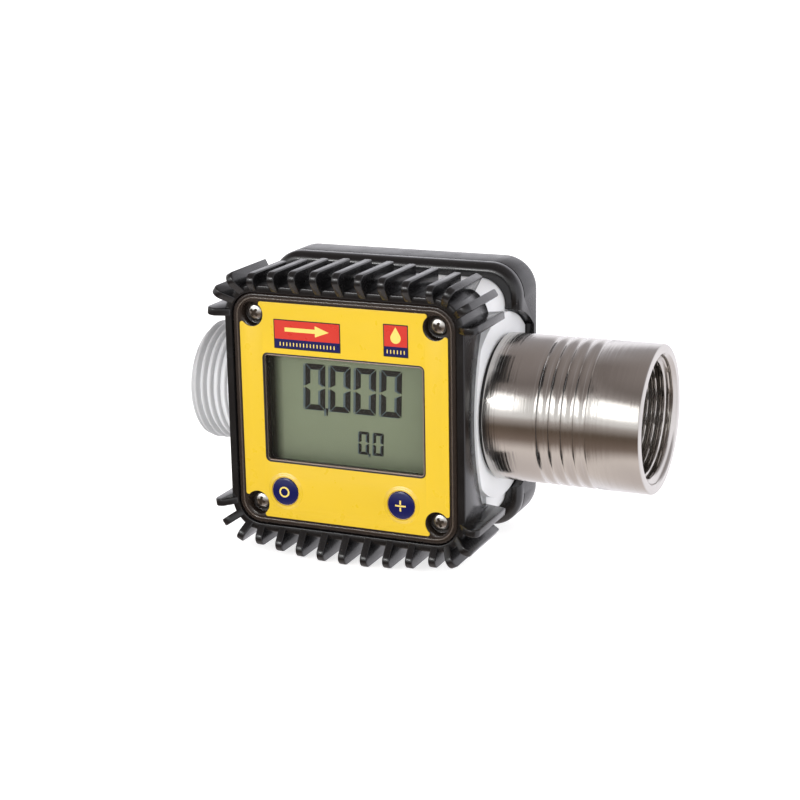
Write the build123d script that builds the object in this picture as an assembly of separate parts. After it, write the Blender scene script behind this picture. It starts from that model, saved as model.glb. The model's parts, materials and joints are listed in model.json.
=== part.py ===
from build123d import *
import math
import os

# In-line turbine flow meter with a square display, for one inch pipe.
# Millimetres. X runs along the flow from inlet to outlet, Z is up, and the
# display faces -Y. Pieces are drawn about the middle of the meter and moved
# at the end, so that the part's origin is the middle of the inlet mouth.

# Pipe threads, modelled as plain cylinders at their crests
THREAD_R = 16.62            # outer radius of the male thread
THREAD_DEPTH = 1.47
THREAD_LENGTH = 17.8        # from the port boss to the mouth
THREAD_FIT = 0.05           # radial room where the sleeve is screwed on
THREAD_WALL = 3.32          # wall inside a male thread
MOUTH_CHAMFER = 1.0         # lead-in chamfer of a male thread

# Flow passage and turbine
SEAT_STEP = 0.8             # counterbore that takes a flow straightener
TUBE_WALL = 2.5             # wall round the turbine chamber
SLIP_FIT = 0.05             # radial room between pieces that are pushed together
CHAMBER_ROOM = 2.0          # from the rotor's washer to the chamber's end
STRAIGHTENER_LENGTH = 16.0
STRAIGHTENER_WALL = 1.2
HUB_R = 4.0                 # hub of the rotor and of each straightener
NOSE_LENGTH = 5.0           # rounded nose of a straightener's hub
VANE_COUNT = 5
VANE_THICK = 1.2
VANE_INSET = 1.5
HUB_GAP = 1.5               # rotor hub to straightener hub, filled by a washer
WASHER_R = 2.6
WASHER_PLAY = 0.15
BLADE_COUNT = 6
BLADE_THICK = 1.3
BLADE_TWIST = 62.0          # degrees over the length of the rotor
TIP_GAP = 0.4
ROTOR_HALF = 7.5
SHAFT_R = 1.0
SHAFT_FIT = 0.03            # running fit in the bushes
PRESS_ROOM = 0.01
BUSH_R = 2.2
BUSH_LENGTH = 5.0
SHAFT_END_PLAY = 0.3
MAGNET_R = 1.2
MAGNET_DEPTH = 1.6
RING_THICK = 1.2            # open spring ring that keeps a straightener in
RING_WIDTH = 1.6
RING_GROOVE = 0.7
RING_MOUTH_ANGLE = 30.0

# Batteries, which set the height of the body
CELL_R = 5.9
CELL_LENGTH = 29.0
CELL_NUB_R = 2.0
CELL_NUB = 1.0
CELL_Y = 8.0
CELL_ROOM = 0.25
TRAY_WALL = 1.0
TRAY_END = 1.2
TRAY_TUBE_ROOM = 0.75       # battery tray to the flow tube
TRAY_BODY_ROOM = 0.45       # battery tray to the body's wall
CONTACT_THICK = 0.5
CONTACT_WIDTH = 4.0
CONTACT_PAD_R = 1.8
CONTACT_REACH = 3.0         # end of the cell to its contact strip
SLOT_ROOM = 0.3
RIB_THICK = 1.5

# Moulded body
BODY_WALL = 2.5
BODY_CORNER = 7.0
BAND_STEP = 1.1             # the front part is this much narrower than the band
FRONT_CORNER = 6.5
BAND_FRONT_Y = -9.0         # shoulder behind the front guard
BAND_WIDTH = 14.5           # seen between the two guards
TUBE_COVER = 2.0            # pocket floor and rear face, over the flow tube
FLOOR_THICK = 2.5
BOSS_MARGIN = 5.33          # port boss outside the sleeve
BOSS_PROUD = 1.7
POST_R = 3.8                # corner posts that take the screws
SCREW_INSET = 5.7

# Clear cover, label and display
LABEL_THICK = 0.25
LABEL_MARGIN = 2.2          # clear rim outside the label
LABEL_SCREW_ROOM = 0.15     # label is cut right along each screw recess
LABEL_NOTCH = 2.2           # straight sides of that cut, from the screw towards the middle
LABEL_FILLET = 0.6
COVER_WALL = 2.0
COVER_RIM = 2.4
COVER_DEPTH = 4.45
COVER_GASKET_THICK = 0.5
COVER_EDGE_FILLET = 0.7
WINDOW_FROM_LEFT = 6.4      # edge of the label to the window
WINDOW_FROM_RIGHT = 6.5
WINDOW_FROM_BOTTOM = 15.6
WINDOW_FROM_TOP = 13.7
WINDOW_CORNER = 1.5
BEZEL_MARGIN = 2.6          # display frame outside the window
BEZEL_DEPTH = 1.7           # front lip of the display frame
BEZEL_INNER_CORNER = 0.5
LCD_THICK = 2.0
LCD_ROOM = 0.15
LCD_OVERLAP = 1.2           # glass hidden behind the frame's lip
LCD_CORNER = 0.4
STRIP_HEIGHT = 1.5          # elastic contact strips between glass and board
STRIP_WIDTH = 1.8
REFLECTOR_THICK = 0.4
BOARD_THICK = 1.2
BOARD_ROOM = 0.5
SENSOR_SIZE = (10.0, 3.0)
CHIP_SIZE = (9.0, 9.0)
CHIP_RAISE = 2.5            # middle of the chip above the window's lower edge
COMPONENT_THICK = 1.0
COMPONENT_ROOM = 0.2

# Keys
RESET_FROM_LEFT = 12.0      # edge of the label to the key's middle
CAL_FROM_RIGHT = 13.5
KEY_FROM_BOTTOM = 7.7
KEY_R = 3.75
KEY_DOME = 0.55
KEY_PROUD = 0.35            # straight side of the key above the label
KEY_ROOM = 0.2
KEY_LIP = 0.85              # flange behind the cover
KEY_FLANGE_THICK = 0.8
KEY_FLANGE_PLAY = 0.1
KEY_STEM_R = 1.5
KEY_TRAVEL = 0.6
KEY_RING_MARGIN = 0.35      # raised ring of the label round each key
KEY_RING_WIDTH = 0.5
KEY_RING_PROUD = 0.15
SWITCH_SIZE = 5.0
SWITCH_CORNER = 0.6
SWITCH_HEIGHT = 1.6
PLUNGER_R = 1.2
PLUNGER_ROOM = 0.1
PLUNGER_PROUD = 0.9
SWITCH_FLOOR = 0.3

# Screws
SCREW_HEAD_R = 2.45
SCREW_HEAD_HEIGHT = 1.7
SCREW_HEAD_BEVEL = 0.9
SCREW_R = 1.5
SCREW_ROOM = 0.15
FRONT_SCREW_LENGTH = 12.0
REAR_SCREW_LENGTH = 11.0
HEAD_ROOM = 0.8
FRONT_RECESS_DEPTH = 3.0    # the front heads are sunk below the label
REAR_RECESS_DEPTH = 2.0

# Front guard of black rubber
GUARD_WALL = 2.1
GUARD_LIP = 0.15            # guard stands in front of the label
GUARD_BEVEL = 0.5           # outer front edge of the wall
GUARD_ROOM = 0.15
FIN_THICK = 2.1
FIN_COUNT = 9
FIN_REACH = 5.0             # height of the middle fin above the upper wall
FIN_REACH_BELOW = 5.7       # the same below the lower wall
FIN_END_DROP = 1.9          # end fins are this much lower; the tips follow an arc
FIN_LEAN = 38.0             # degrees that the front edge leans forward
FIN_ROOT = 1.85             # depth of the fin's foot in the wall
FIN_ROUND = 2.1
FIN_EDGE = 0.35
CORNER_FIN_STEP = 28.0      # degrees from fin to fin round a corner
CORNER_FINS = 3
CORNER_FIN_REACH = 4.4
SCALLOP_RIM = 7.0           # height of the side wall at mid height
SCALLOP_R = 52.0
SCALLOP_NOTCH_R = 0.9

# Rear guard of black rubber
SHELL_WALL_X = 3.95
SHELL_WALL_Z = 3.75
SHELL_CORNER_WALL = 1.85
SHELL_BACK_WALL = 2.7
SHELL_BEAD = 2.6            # rounding of the front lip
SHELL_REAR_FILLET = 5.5
SHELL_ROOM = 0.15
SHELL_GROOVE_BACK = 3.8     # front lip to the groove
SHELL_GROOVE_WIDTH = 0.5
SHELL_GROOVE_DEPTH = 0.5
SHELL_GROOVE_GAP = 2.0      # end of the groove to the arch of a port
ARCH_ROOM = 0.5             # room between the port boss and the guard

# Rear cover
REAR_GASKET_THICK = 0.5
REAR_COVER_THICK = 3.8
REAR_COVER_WALL = 2.0
REAR_POST_WALL = 1.0        # lid's wall round a screw, outside the post

# Turned sleeve screwed on the outlet
SLEEVE_WALL = 3.0           # wall outside the male thread
SLEEVE_NECK_STEP = 0.3      # neck is wider than the straightener's seat
SLEEVE_NECK_LENGTH = 5.0
SLEEVE_THREAD_LENGTH = 16.1
SLEEVE_CHAMFER = 1.0
SLEEVE_BACK_CHAMFER = 0.5
SLEEVE_SINK = 2.2           # countersink of the outlet mouth
GROOVE_FIRST = 14.3         # start of the sleeve to the first groove
GROOVE_PITCH = 3.25
GROOVE_COUNT = 5
GROOVE_R = 1.3
GROOVE_DEPTH = 0.32
GASKET_THICK = 2.0
GASKET_ROOM = 0.2
SEAL_THICK = 1.0
SEAL_WIDTH = 1.9

CUT = 5.0                   # how far a cut runs past what it cuts
NEAR = 0.01                 # how near a point lies to an edge that is looked for

# Sizes that follow from those above, from the flow axis outwards
CORNERS = [(1, 1), (-1, 1), (-1, -1), (1, -1)]
THREAD_BORE_R = THREAD_R - THREAD_DEPTH
SEAT_R = THREAD_R - THREAD_WALL
BORE_R = SEAT_R - SEAT_STEP
TUBE_R = BORE_R + TUBE_WALL
HUB_START = ROTOR_HALF + HUB_GAP
CHAMBER_HALF = HUB_START + CHAMBER_ROOM
SEAT_END = CHAMBER_HALF + STRAIGHTENER_LENGTH
CELL_Z = TUBE_R + TRAY_TUBE_ROOM + TRAY_WALL + CELL_ROOM + CELL_R
CONTACT_X = CELL_LENGTH / 2 + CONTACT_REACH + CONTACT_THICK / 2
TRAY_HALF = CONTACT_X + CONTACT_THICK / 2 + TRAY_END
TRAY_FRONT_Y = CELL_Y - CELL_R - CELL_ROOM - TRAY_WALL
BODY_HALF = CELL_Z + CELL_R + CELL_ROOM + TRAY_WALL + TRAY_BODY_ROOM + BODY_WALL
FRONT_HALF = BODY_HALF - BAND_STEP
SCREW_AT = FRONT_HALF - SCREW_INSET
HEAD_RECESS_R = SCREW_HEAD_R + HEAD_ROOM
BOSS_REACH = BODY_HALF + BOSS_PROUD
REACH = BOSS_REACH + THREAD_LENGTH
SLEEVE_R = THREAD_R + THREAD_FIT + SLEEVE_WALL
BOSS_R = SLEEVE_R + BOSS_MARGIN
SLEEVE_START = BOSS_REACH + SEAL_THICK
NECK_START = REACH + GASKET_THICK
NECK_END = NECK_START + SLEEVE_NECK_LENGTH
SLEEVE_END = NECK_END + SLEEVE_THREAD_LENGTH + SLEEVE_SINK

# Depths, from the flow tube forwards and backwards
POCKET_FLOOR_Y = -TUBE_R - TUBE_COVER
BOARD_BACK_Y = POCKET_FLOOR_Y - COMPONENT_THICK - COMPONENT_ROOM
BOARD_Y = BOARD_BACK_Y - BOARD_THICK
LCD_Y = BOARD_Y - STRIP_HEIGHT - LCD_THICK
COVER_INNER_Y = LCD_Y - BEZEL_DEPTH - LCD_ROOM
COVER_Y = COVER_INNER_Y - COVER_WALL
COVER_BACK_Y = COVER_Y + COVER_DEPTH
LABEL_Y = COVER_Y - LABEL_THICK
BODY_FRONT_Y = COVER_BACK_Y + COVER_GASKET_THICK
GUARD_FRONT_Y = LABEL_Y - GUARD_LIP
BODY_REAR_Y = TUBE_R + TUBE_COVER
REAR_COVER_Y = BODY_REAR_Y + REAR_GASKET_THICK
REAR_COVER_BACK_Y = REAR_COVER_Y + REAR_COVER_THICK
SHELL_FRONT_Y = BAND_FRONT_Y + BAND_WIDTH
SHELL_REAR_Y = REAR_COVER_BACK_Y + SHELL_BACK_WALL
SCALLOP_Y = GUARD_FRONT_Y + SCALLOP_RIM

# Outlines as seen from the front
LABEL_HALF = FRONT_HALF - LABEL_MARGIN
LABEL_SCREW_R = HEAD_RECESS_R + LABEL_SCREW_ROOM
WINDOW_LEFT = WINDOW_FROM_LEFT - LABEL_HALF
WINDOW_RIGHT = LABEL_HALF - WINDOW_FROM_RIGHT
WINDOW_BOTTOM = WINDOW_FROM_BOTTOM - LABEL_HALF
WINDOW_TOP = LABEL_HALF - WINDOW_FROM_TOP
KEYS = {"reset": RESET_FROM_LEFT - LABEL_HALF, "cal": LABEL_HALF - CAL_FROM_RIGHT}
KEY_Z = KEY_FROM_BOTTOM - LABEL_HALF
KEY_HOLE_R = KEY_R + KEY_ROOM
POCKET_HALF = FRONT_HALF - BODY_WALL
POST_SQUARE = POCKET_HALF - SCREW_AT + POST_R
GUARD_HALF = FRONT_HALF + GUARD_ROOM + GUARD_WALL
GUARD_CORNER = FRONT_CORNER + GUARD_ROOM + GUARD_WALL
SHELL_HALF_X = BODY_HALF + SHELL_ROOM + SHELL_WALL_X
SHELL_HALF_Z = BODY_HALF + SHELL_ROOM + SHELL_WALL_Z
SHELL_CORNER = BODY_CORNER + SHELL_ROOM + SHELL_CORNER_WALL


def slab(outline, front, back):
    """A flat outline, drawn as seen from the front, standing between two depths."""
    return Plane.XZ.offset(-back) * extrude(outline, back - front)


def frame_outline(half_x, half_z, corner):
    """A rectangle with rounded corners, centred on the flow axis."""
    return RectangleRounded(2 * half_x, 2 * half_z, corner)


def flow_plane(x):
    """The plane across the flow axis at x, for outlines drawn as (y, z)."""
    return Plane(origin=(x, 0, 0), x_dir=(0, 1, 0), z_dir=(1, 0, 0))


def along_flow(outline, x_from, x_to):
    """A flat outline, drawn as (y, z), running along the flow axis between two places."""
    return flow_plane(x_from) * extrude(outline, x_to - x_from)


def turned(points):
    """A body of revolution about the flow axis, from points (x, radius)."""
    return revolve(make_face(Polyline(*points, close=True)), Axis.X)


def rod(radius, x_from, x_to):
    """A round bar along the flow axis."""
    bar = Cylinder(radius, x_to - x_from, align=(Align.CENTER, Align.CENTER, Align.MIN))
    return Pos(x_from, 0, 0) * Rot(0, 90, 0) * bar


def pipe(outer, inner, x_from, x_to):
    """A plain tube along the flow axis."""
    return rod(outer, x_from, x_to) - rod(inner, x_from - CUT, x_to + CUT)


def mirrored(piece):
    """The inlet side's copy of an outlet side's piece."""
    return mirror(piece, Plane.YZ)


def peg(x, z, radius, front, back):
    """A round bar along Y, seen from the front at (x, z)."""
    return slab(Pos(x, z) * Circle(radius), front, back)


def screw_places():
    """The four screw centres as seen from the front."""
    return [(sx * SCREW_AT, sz * SCREW_AT) for sx, sz in CORNERS]


def window_outline(margin, corner):
    """The display window, widened on all sides by a margin."""
    width = WINDOW_RIGHT - WINDOW_LEFT + 2 * margin
    height = WINDOW_TOP - WINDOW_BOTTOM + 2 * margin
    middle = Pos((WINDOW_LEFT + WINDOW_RIGHT) / 2, (WINDOW_BOTTOM + WINDOW_TOP) / 2)
    return middle * RectangleRounded(width, height, corner)


def pocket_outline(room):
    """The electronics pocket: a rectangle without the squares of the corner posts."""
    outline = Rectangle(2 * (POCKET_HALF - room), 2 * (POCKET_HALF - room))
    for sx, sz in CORNERS:
        square = Rectangle(2 * (POST_SQUARE + room), 2 * (POST_SQUARE + room))
        outline -= Pos(sx * POCKET_HALF, sz * POCKET_HALF) * square
    return outline


def flow_bore():
    """The passage: chamber in the middle, a wider seat towards each mouth."""
    bore = rod(BORE_R, -REACH - CUT, REACH + CUT)
    bore += rod(SEAT_R, -REACH - CUT, -CHAMBER_HALF)
    bore += rod(SEAT_R, CHAMBER_HALF, REACH + CUT)
    for x in ring_places():
        bore += rod(SEAT_R + RING_GROOVE, x, x + RING_THICK)
    return bore


def ring_places():
    """Inlet and outlet spring ring, each given by its lowest x."""
    return [-SEAT_END - RING_THICK, SEAT_END]


def threaded_stub():
    """The outlet's threaded pipe end, from the middle of the meter to its mouth."""
    return turned([(0, 0), (0, TUBE_R), (BODY_HALF, TUBE_R), (BODY_HALF, THREAD_R),
                   (REACH - MOUTH_CHAMFER, THREAD_R), (REACH, THREAD_R - MOUTH_CHAMFER), (REACH, 0)])


def port_boss():
    """The outlet's round boss, cut off behind by the rear face and in front by the guard."""
    outline = Circle(BOSS_R) & scallop_outline(GUARD_ROOM, BODY_REAR_Y)
    return along_flow(outline, POCKET_HALF, BOSS_REACH)


def meter_body():
    """The moulded body: front pocket, rear battery room, flow tube and two pipe ends."""
    body = slab(frame_outline(FRONT_HALF, FRONT_HALF, FRONT_CORNER), BODY_FRONT_Y, BAND_FRONT_Y)
    body += slab(frame_outline(BODY_HALF, BODY_HALF, BODY_CORNER), BAND_FRONT_Y, BODY_REAR_Y)
    body += port_boss()
    body += mirrored(port_boss())
    body -= slab(pocket_outline(0), BODY_FRONT_Y, POCKET_FLOOR_Y)
    inner = frame_outline(POCKET_HALF, POCKET_HALF, FRONT_CORNER - BODY_WALL)
    body -= slab(inner, POCKET_FLOOR_Y + FLOOR_THICK, BAND_FRONT_Y + BODY_WALL)
    rear = frame_outline(BODY_HALF - BODY_WALL, BODY_HALF - BODY_WALL, BODY_CORNER - BODY_WALL)
    body -= slab(rear, BAND_FRONT_Y + BODY_WALL, BODY_REAR_Y)
    for x, z in screw_places():
        body += peg(x, z, POST_R, POCKET_FLOOR_Y, BODY_REAR_Y)
    rib_half = CONTACT_X - CONTACT_THICK / 2 - 2 * SLOT_ROOM
    for side in (1, -1):
        rib = Pos(0, side * CELL_Z) * Rectangle(2 * rib_half, RIB_THICK)
        body += slab(rib, POCKET_FLOOR_Y, TRAY_FRONT_Y)
    body += threaded_stub()
    body += mirrored(threaded_stub())
    body -= flow_bore()
    for x, z in screw_places():
        body -= peg(x, z, SCREW_R + PRESS_ROOM, BODY_FRONT_Y, front_screw_end())
        body -= peg(x, z, SCREW_R + PRESS_ROOM, rear_screw_end(), BODY_REAR_Y)
    for x, z in contact_places():
        body -= slab(Pos(x, z) * contact_slot(), POCKET_FLOOR_Y - CUT, POCKET_FLOOR_Y + FLOOR_THICK + CUT)
    return body


def front_screw_end():
    """Depth of a front screw's tip."""
    return COVER_Y + FRONT_RECESS_DEPTH + FRONT_SCREW_LENGTH


def rear_screw_end():
    """Depth of a rear screw's tip."""
    return REAR_COVER_BACK_Y - REAR_RECESS_DEPTH - REAR_SCREW_LENGTH


def contact_places():
    """Middle of each battery contact strip, as seen from the front."""
    return [(sx * CONTACT_X, sz * CELL_Z) for sx, sz in CORNERS]


def contact_slot():
    """The slot that a contact strip passes through."""
    return Rectangle(CONTACT_THICK + 2 * SLOT_ROOM, CONTACT_WIDTH + 2 * SLOT_ROOM)


def label_outline():
    """The label: a rectangle cut back round the screws, with soft corners."""
    outline = Rectangle(2 * LABEL_HALF, 2 * LABEL_HALF)
    for (sx, sz), (x, z) in zip(CORNERS, screw_places()):
        outline -= Pos(x, z) * Circle(LABEL_SCREW_R)
        notch = Rectangle(2 * LABEL_SCREW_R, 2 * LABEL_SCREW_R)
        out = LABEL_SCREW_R - LABEL_NOTCH
        outline -= Pos(x + sx * out, z + sz * out) * notch
    edge_x = [v for v in outline.vertices() if abs(abs(v.X) - LABEL_HALF) < NEAR]
    edge_z = [v for v in outline.vertices() if abs(abs(v.Y) - LABEL_HALF) < NEAR]
    return fillet(edge_x + edge_z, LABEL_FILLET)


def display_label():
    """The printed label with its window, key holes and a raised ring round each key."""
    label = label_outline() - window_outline(0, WINDOW_CORNER)
    plate = slab(label, LABEL_Y, COVER_Y)
    for x in KEYS.values():
        ring_r = KEY_HOLE_R + KEY_RING_MARGIN
        ring = Circle(ring_r + KEY_RING_WIDTH) - Circle(ring_r)
        plate += slab(Pos(x, KEY_Z) * ring, LABEL_Y - KEY_RING_PROUD, LABEL_Y)
        plate -= peg(x, KEY_Z, KEY_HOLE_R, LABEL_Y - CUT, COVER_Y + CUT)
    return plate


def front_cover():
    """The clear cover: a shallow tray with screw recesses and two key holes."""
    outline = frame_outline(FRONT_HALF, FRONT_HALF, FRONT_CORNER)
    cover = slab(outline, COVER_Y, COVER_BACK_Y)
    front_edges = cover.faces().sort_by(Axis.Y)[0].edges()
    cover = fillet(front_edges, COVER_EDGE_FILLET)
    room = frame_outline(FRONT_HALF - COVER_RIM, FRONT_HALF - COVER_RIM,
                         FRONT_CORNER - COVER_RIM)
    for x, z in screw_places():
        room -= Pos(x, z) * Circle(POST_R)
    for (sx, sz), (x, z) in zip(CORNERS, screw_places()):
        block = Rectangle(POST_R, POST_R)
        room -= Pos(x + sx * POST_R / 2, z + sz * POST_R / 2) * block
    cover -= slab(room, COVER_INNER_Y, COVER_BACK_Y)
    for x, z in screw_places():
        cover -= peg(x, z, HEAD_RECESS_R, COVER_Y - CUT, COVER_Y + FRONT_RECESS_DEPTH)
        cover -= peg(x, z, SCREW_R + SCREW_ROOM, COVER_Y, COVER_BACK_Y + CUT)
    for x in KEYS.values():
        cover -= peg(x, KEY_Z, KEY_HOLE_R, COVER_Y - CUT, COVER_INNER_Y + CUT)
    return cover


def cover_gasket():
    """Flat rubber frame between the clear cover and the rim of the body."""
    outline = frame_outline(FRONT_HALF, FRONT_HALF, FRONT_CORNER) - pocket_outline(0)
    gasket = slab(outline, COVER_BACK_Y, BODY_FRONT_Y)
    for x, z in screw_places():
        gasket -= peg(x, z, SCREW_R + SCREW_ROOM, COVER_BACK_Y - CUT, BODY_FRONT_Y + CUT)
    return gasket


def pan_screw(x, z, seat, length, direction):
    """A pan-head screw along Y: head outside its seat, shank running in."""
    head = slab(Pos(x, z) * Circle(SCREW_HEAD_R), 0, SCREW_HEAD_HEIGHT)
    screw = chamfer(head.faces().sort_by(Axis.Y)[0].edges(), SCREW_HEAD_BEVEL)
    screw += peg(x, z, SCREW_R, SCREW_HEAD_HEIGHT, SCREW_HEAD_HEIGHT + length)
    screw = Pos(0, -SCREW_HEAD_HEIGHT, 0) * screw
    if direction < 0:
        screw = mirror(screw, Plane.XZ)
    return Pos(0, seat, 0) * screw


def front_screws():
    """Four screws that hold the clear cover."""
    seat = COVER_Y + FRONT_RECESS_DEPTH
    return [pan_screw(x, z, seat, FRONT_SCREW_LENGTH, 1) for x, z in screw_places()]


def rear_screws():
    """Four screws that hold the rear cover."""
    seat = REAR_COVER_BACK_Y - REAR_RECESS_DEPTH
    return [pan_screw(x, z, seat, REAR_SCREW_LENGTH, -1) for x, z in screw_places()]


def key(x):
    """A domed key: cap through the cover, flange behind it and a stem to the switch."""
    top = LABEL_Y - KEY_PROUD
    flange = COVER_INNER_Y + KEY_FLANGE_PLAY
    back = flange + KEY_FLANGE_THICK
    stem_end = BOARD_Y - SWITCH_HEIGHT - PLUNGER_PROUD
    dome = TangentArc((0, top - KEY_DOME), (KEY_R, top), tangent=(1, 0))
    rest = Polyline((KEY_R, top), (KEY_R, flange), (KEY_R + KEY_LIP, flange), (KEY_R + KEY_LIP, back),
                    (KEY_STEM_R, back), (KEY_STEM_R, stem_end), (0, stem_end), (0, top - KEY_DOME))
    return Pos(x, 0, KEY_Z) * revolve(make_face([dome, rest]), Axis.Y)


def switch_bodies():
    """The two push switches on the board, each with a well for its plunger."""
    switches = []
    for x in KEYS.values():
        case = slab(Pos(x, KEY_Z) * RectangleRounded(SWITCH_SIZE, SWITCH_SIZE, SWITCH_CORNER),
                    BOARD_Y - SWITCH_HEIGHT, BOARD_Y)
        case -= peg(x, KEY_Z, PLUNGER_R + PLUNGER_ROOM, BOARD_Y - SWITCH_HEIGHT - CUT,
                    BOARD_Y - SWITCH_FLOOR)
        switches.append(case)
    return switches


def plunger(x):
    """The plunger of a push switch, moved by the key's stem."""
    top = BOARD_Y - SWITCH_HEIGHT - PLUNGER_PROUD
    return peg(x, KEY_Z, PLUNGER_R, top, BOARD_Y - SWITCH_FLOOR - KEY_TRAVEL - PLUNGER_ROOM)


def lcd_frame():
    """The dark frame round the display, open at the back for the glass."""
    outline = window_outline(BEZEL_MARGIN, WINDOW_CORNER)
    frame = slab(outline, COVER_INNER_Y + LCD_ROOM, BOARD_Y)
    frame -= slab(window_outline(0, WINDOW_CORNER), COVER_INNER_Y, BOARD_Y)
    frame -= slab(window_outline(LCD_OVERLAP + LCD_ROOM, BEZEL_INNER_CORNER), LCD_Y, BOARD_Y)
    return frame


def lcd_glass():
    """The display cell behind the window."""
    return slab(window_outline(LCD_OVERLAP, LCD_CORNER), LCD_Y, LCD_Y + LCD_THICK)


def lcd_reflector():
    """The sheet behind the display cell."""
    outline = window_outline(-STRIP_WIDTH, LCD_CORNER)
    return slab(outline, LCD_Y + LCD_THICK, LCD_Y + LCD_THICK + REFLECTOR_THICK)


def contact_strips():
    """Two elastic strips that join the display cell to the board."""
    strips = []
    width = WINDOW_RIGHT - WINDOW_LEFT
    middle = (WINDOW_LEFT + WINDOW_RIGHT) / 2
    for z in (WINDOW_TOP + LCD_OVERLAP - STRIP_WIDTH / 2, WINDOW_BOTTOM - LCD_OVERLAP + STRIP_WIDTH / 2):
        strips.append(slab(Pos(middle, z) * Rectangle(width, STRIP_WIDTH), LCD_Y + LCD_THICK, BOARD_Y))
    return strips


def circuit_board():
    """The board that fills the pocket between the corner posts."""
    return slab(pocket_outline(BOARD_ROOM), BOARD_Y, BOARD_BACK_Y)


def back_component(size, x, z):
    """A flat component on the back of the board."""
    return slab(Pos(x, z) * Rectangle(*size), BOARD_BACK_Y, BOARD_BACK_Y + COMPONENT_THICK)


def fin(reach):
    """One fin of the guard: wall's face at z = 0, standing up towards +Z."""
    front = GUARD_FRONT_Y - (reach + FIN_ROOT) * math.tan(math.radians(FIN_LEAN))
    side = make_face(Polyline((BAND_FRONT_Y, -FIN_ROOT), (GUARD_FRONT_Y, -FIN_ROOT), (front, reach),
                              (BAND_FRONT_Y, reach), close=True))
    side = fillet([v for v in side.vertices() if v.X < front + NEAR], FIN_ROUND)
    blade = extrude(side, FIN_THICK / 2, both=True)
    rims = [e for e in blade.edges() if abs(abs(e.center().Z) - FIN_THICK / 2) < NEAR
            and e.center().Y > NEAR - FIN_ROOT and e.center().X < BAND_FRONT_Y - NEAR]
    return flow_plane(0) * chamfer(rims, FIN_EDGE)


def fins():
    """The straight fins above and below, and the fans of three at the corners."""
    row = []
    straight_half = GUARD_HALF - GUARD_CORNER
    crown_r = (straight_half ** 2 + FIN_END_DROP ** 2) / (2 * FIN_END_DROP)
    for i in range(FIN_COUNT):
        x = straight_half * (2 * i / (FIN_COUNT - 1) - 1)
        drop = crown_r - math.sqrt(crown_r ** 2 - x ** 2)
        row.append(Pos(x, 0, GUARD_HALF) * fin(FIN_REACH - drop))
        row.append(mirror(Pos(x, 0, GUARD_HALF) * fin(FIN_REACH_BELOW - drop), Plane.XY))
    for i in range(CORNER_FINS):
        out = Rot(0, (i + 1) * CORNER_FIN_STEP, 0) * Pos(0, 0, GUARD_CORNER) * fin(CORNER_FIN_REACH)
        out = Pos(straight_half, 0, straight_half) * out
        below = mirror(out, Plane.XY)
        row += [out, mirrored(out), below, mirrored(below)]
    return row


def scallop_end():
    """Where the scallop's arc ends, above and below."""
    return SCALLOP_Y + SCALLOP_R - math.sqrt(SCALLOP_R ** 2 - BOSS_R ** 2)


def scallop_outline(room, back):
    """The opening behind the scalloped edge of a side wall, drawn as (y, z)."""
    end = scallop_end() + room
    arc = ThreePointArc((end, -BOSS_R), (SCALLOP_Y + room, 0), (end, BOSS_R))
    rest = Polyline((end, BOSS_R), (back, BOSS_R), (back, -BOSS_R), (end, -BOSS_R))
    return make_face([arc, rest])


def front_guard():
    """The finned rubber guard that is stretched over the front of the body."""
    outer = frame_outline(GUARD_HALF, GUARD_HALF, GUARD_CORNER)
    inner = frame_outline(FRONT_HALF + GUARD_ROOM, FRONT_HALF + GUARD_ROOM, FRONT_CORNER + GUARD_ROOM)
    guard = slab(outer, GUARD_FRONT_Y, BAND_FRONT_Y)
    guard = chamfer(guard.faces().sort_by(Axis.Y)[0].edges(), GUARD_BEVEL)
    guard -= slab(inner, GUARD_FRONT_Y - CUT, BAND_FRONT_Y + CUT)
    guard += fins()
    opening = scallop_outline(0, BAND_FRONT_Y + CUT)
    for side in (1, -1):
        opening += Pos(scallop_end() + SCALLOP_NOTCH_R, side * BOSS_R) * Circle(SCALLOP_NOTCH_R)
    inside = FRONT_HALF - FRONT_CORNER
    cut = along_flow(opening, inside, GUARD_HALF + CORNER_FIN_REACH)
    return guard - cut - mirrored(cut)


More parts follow.
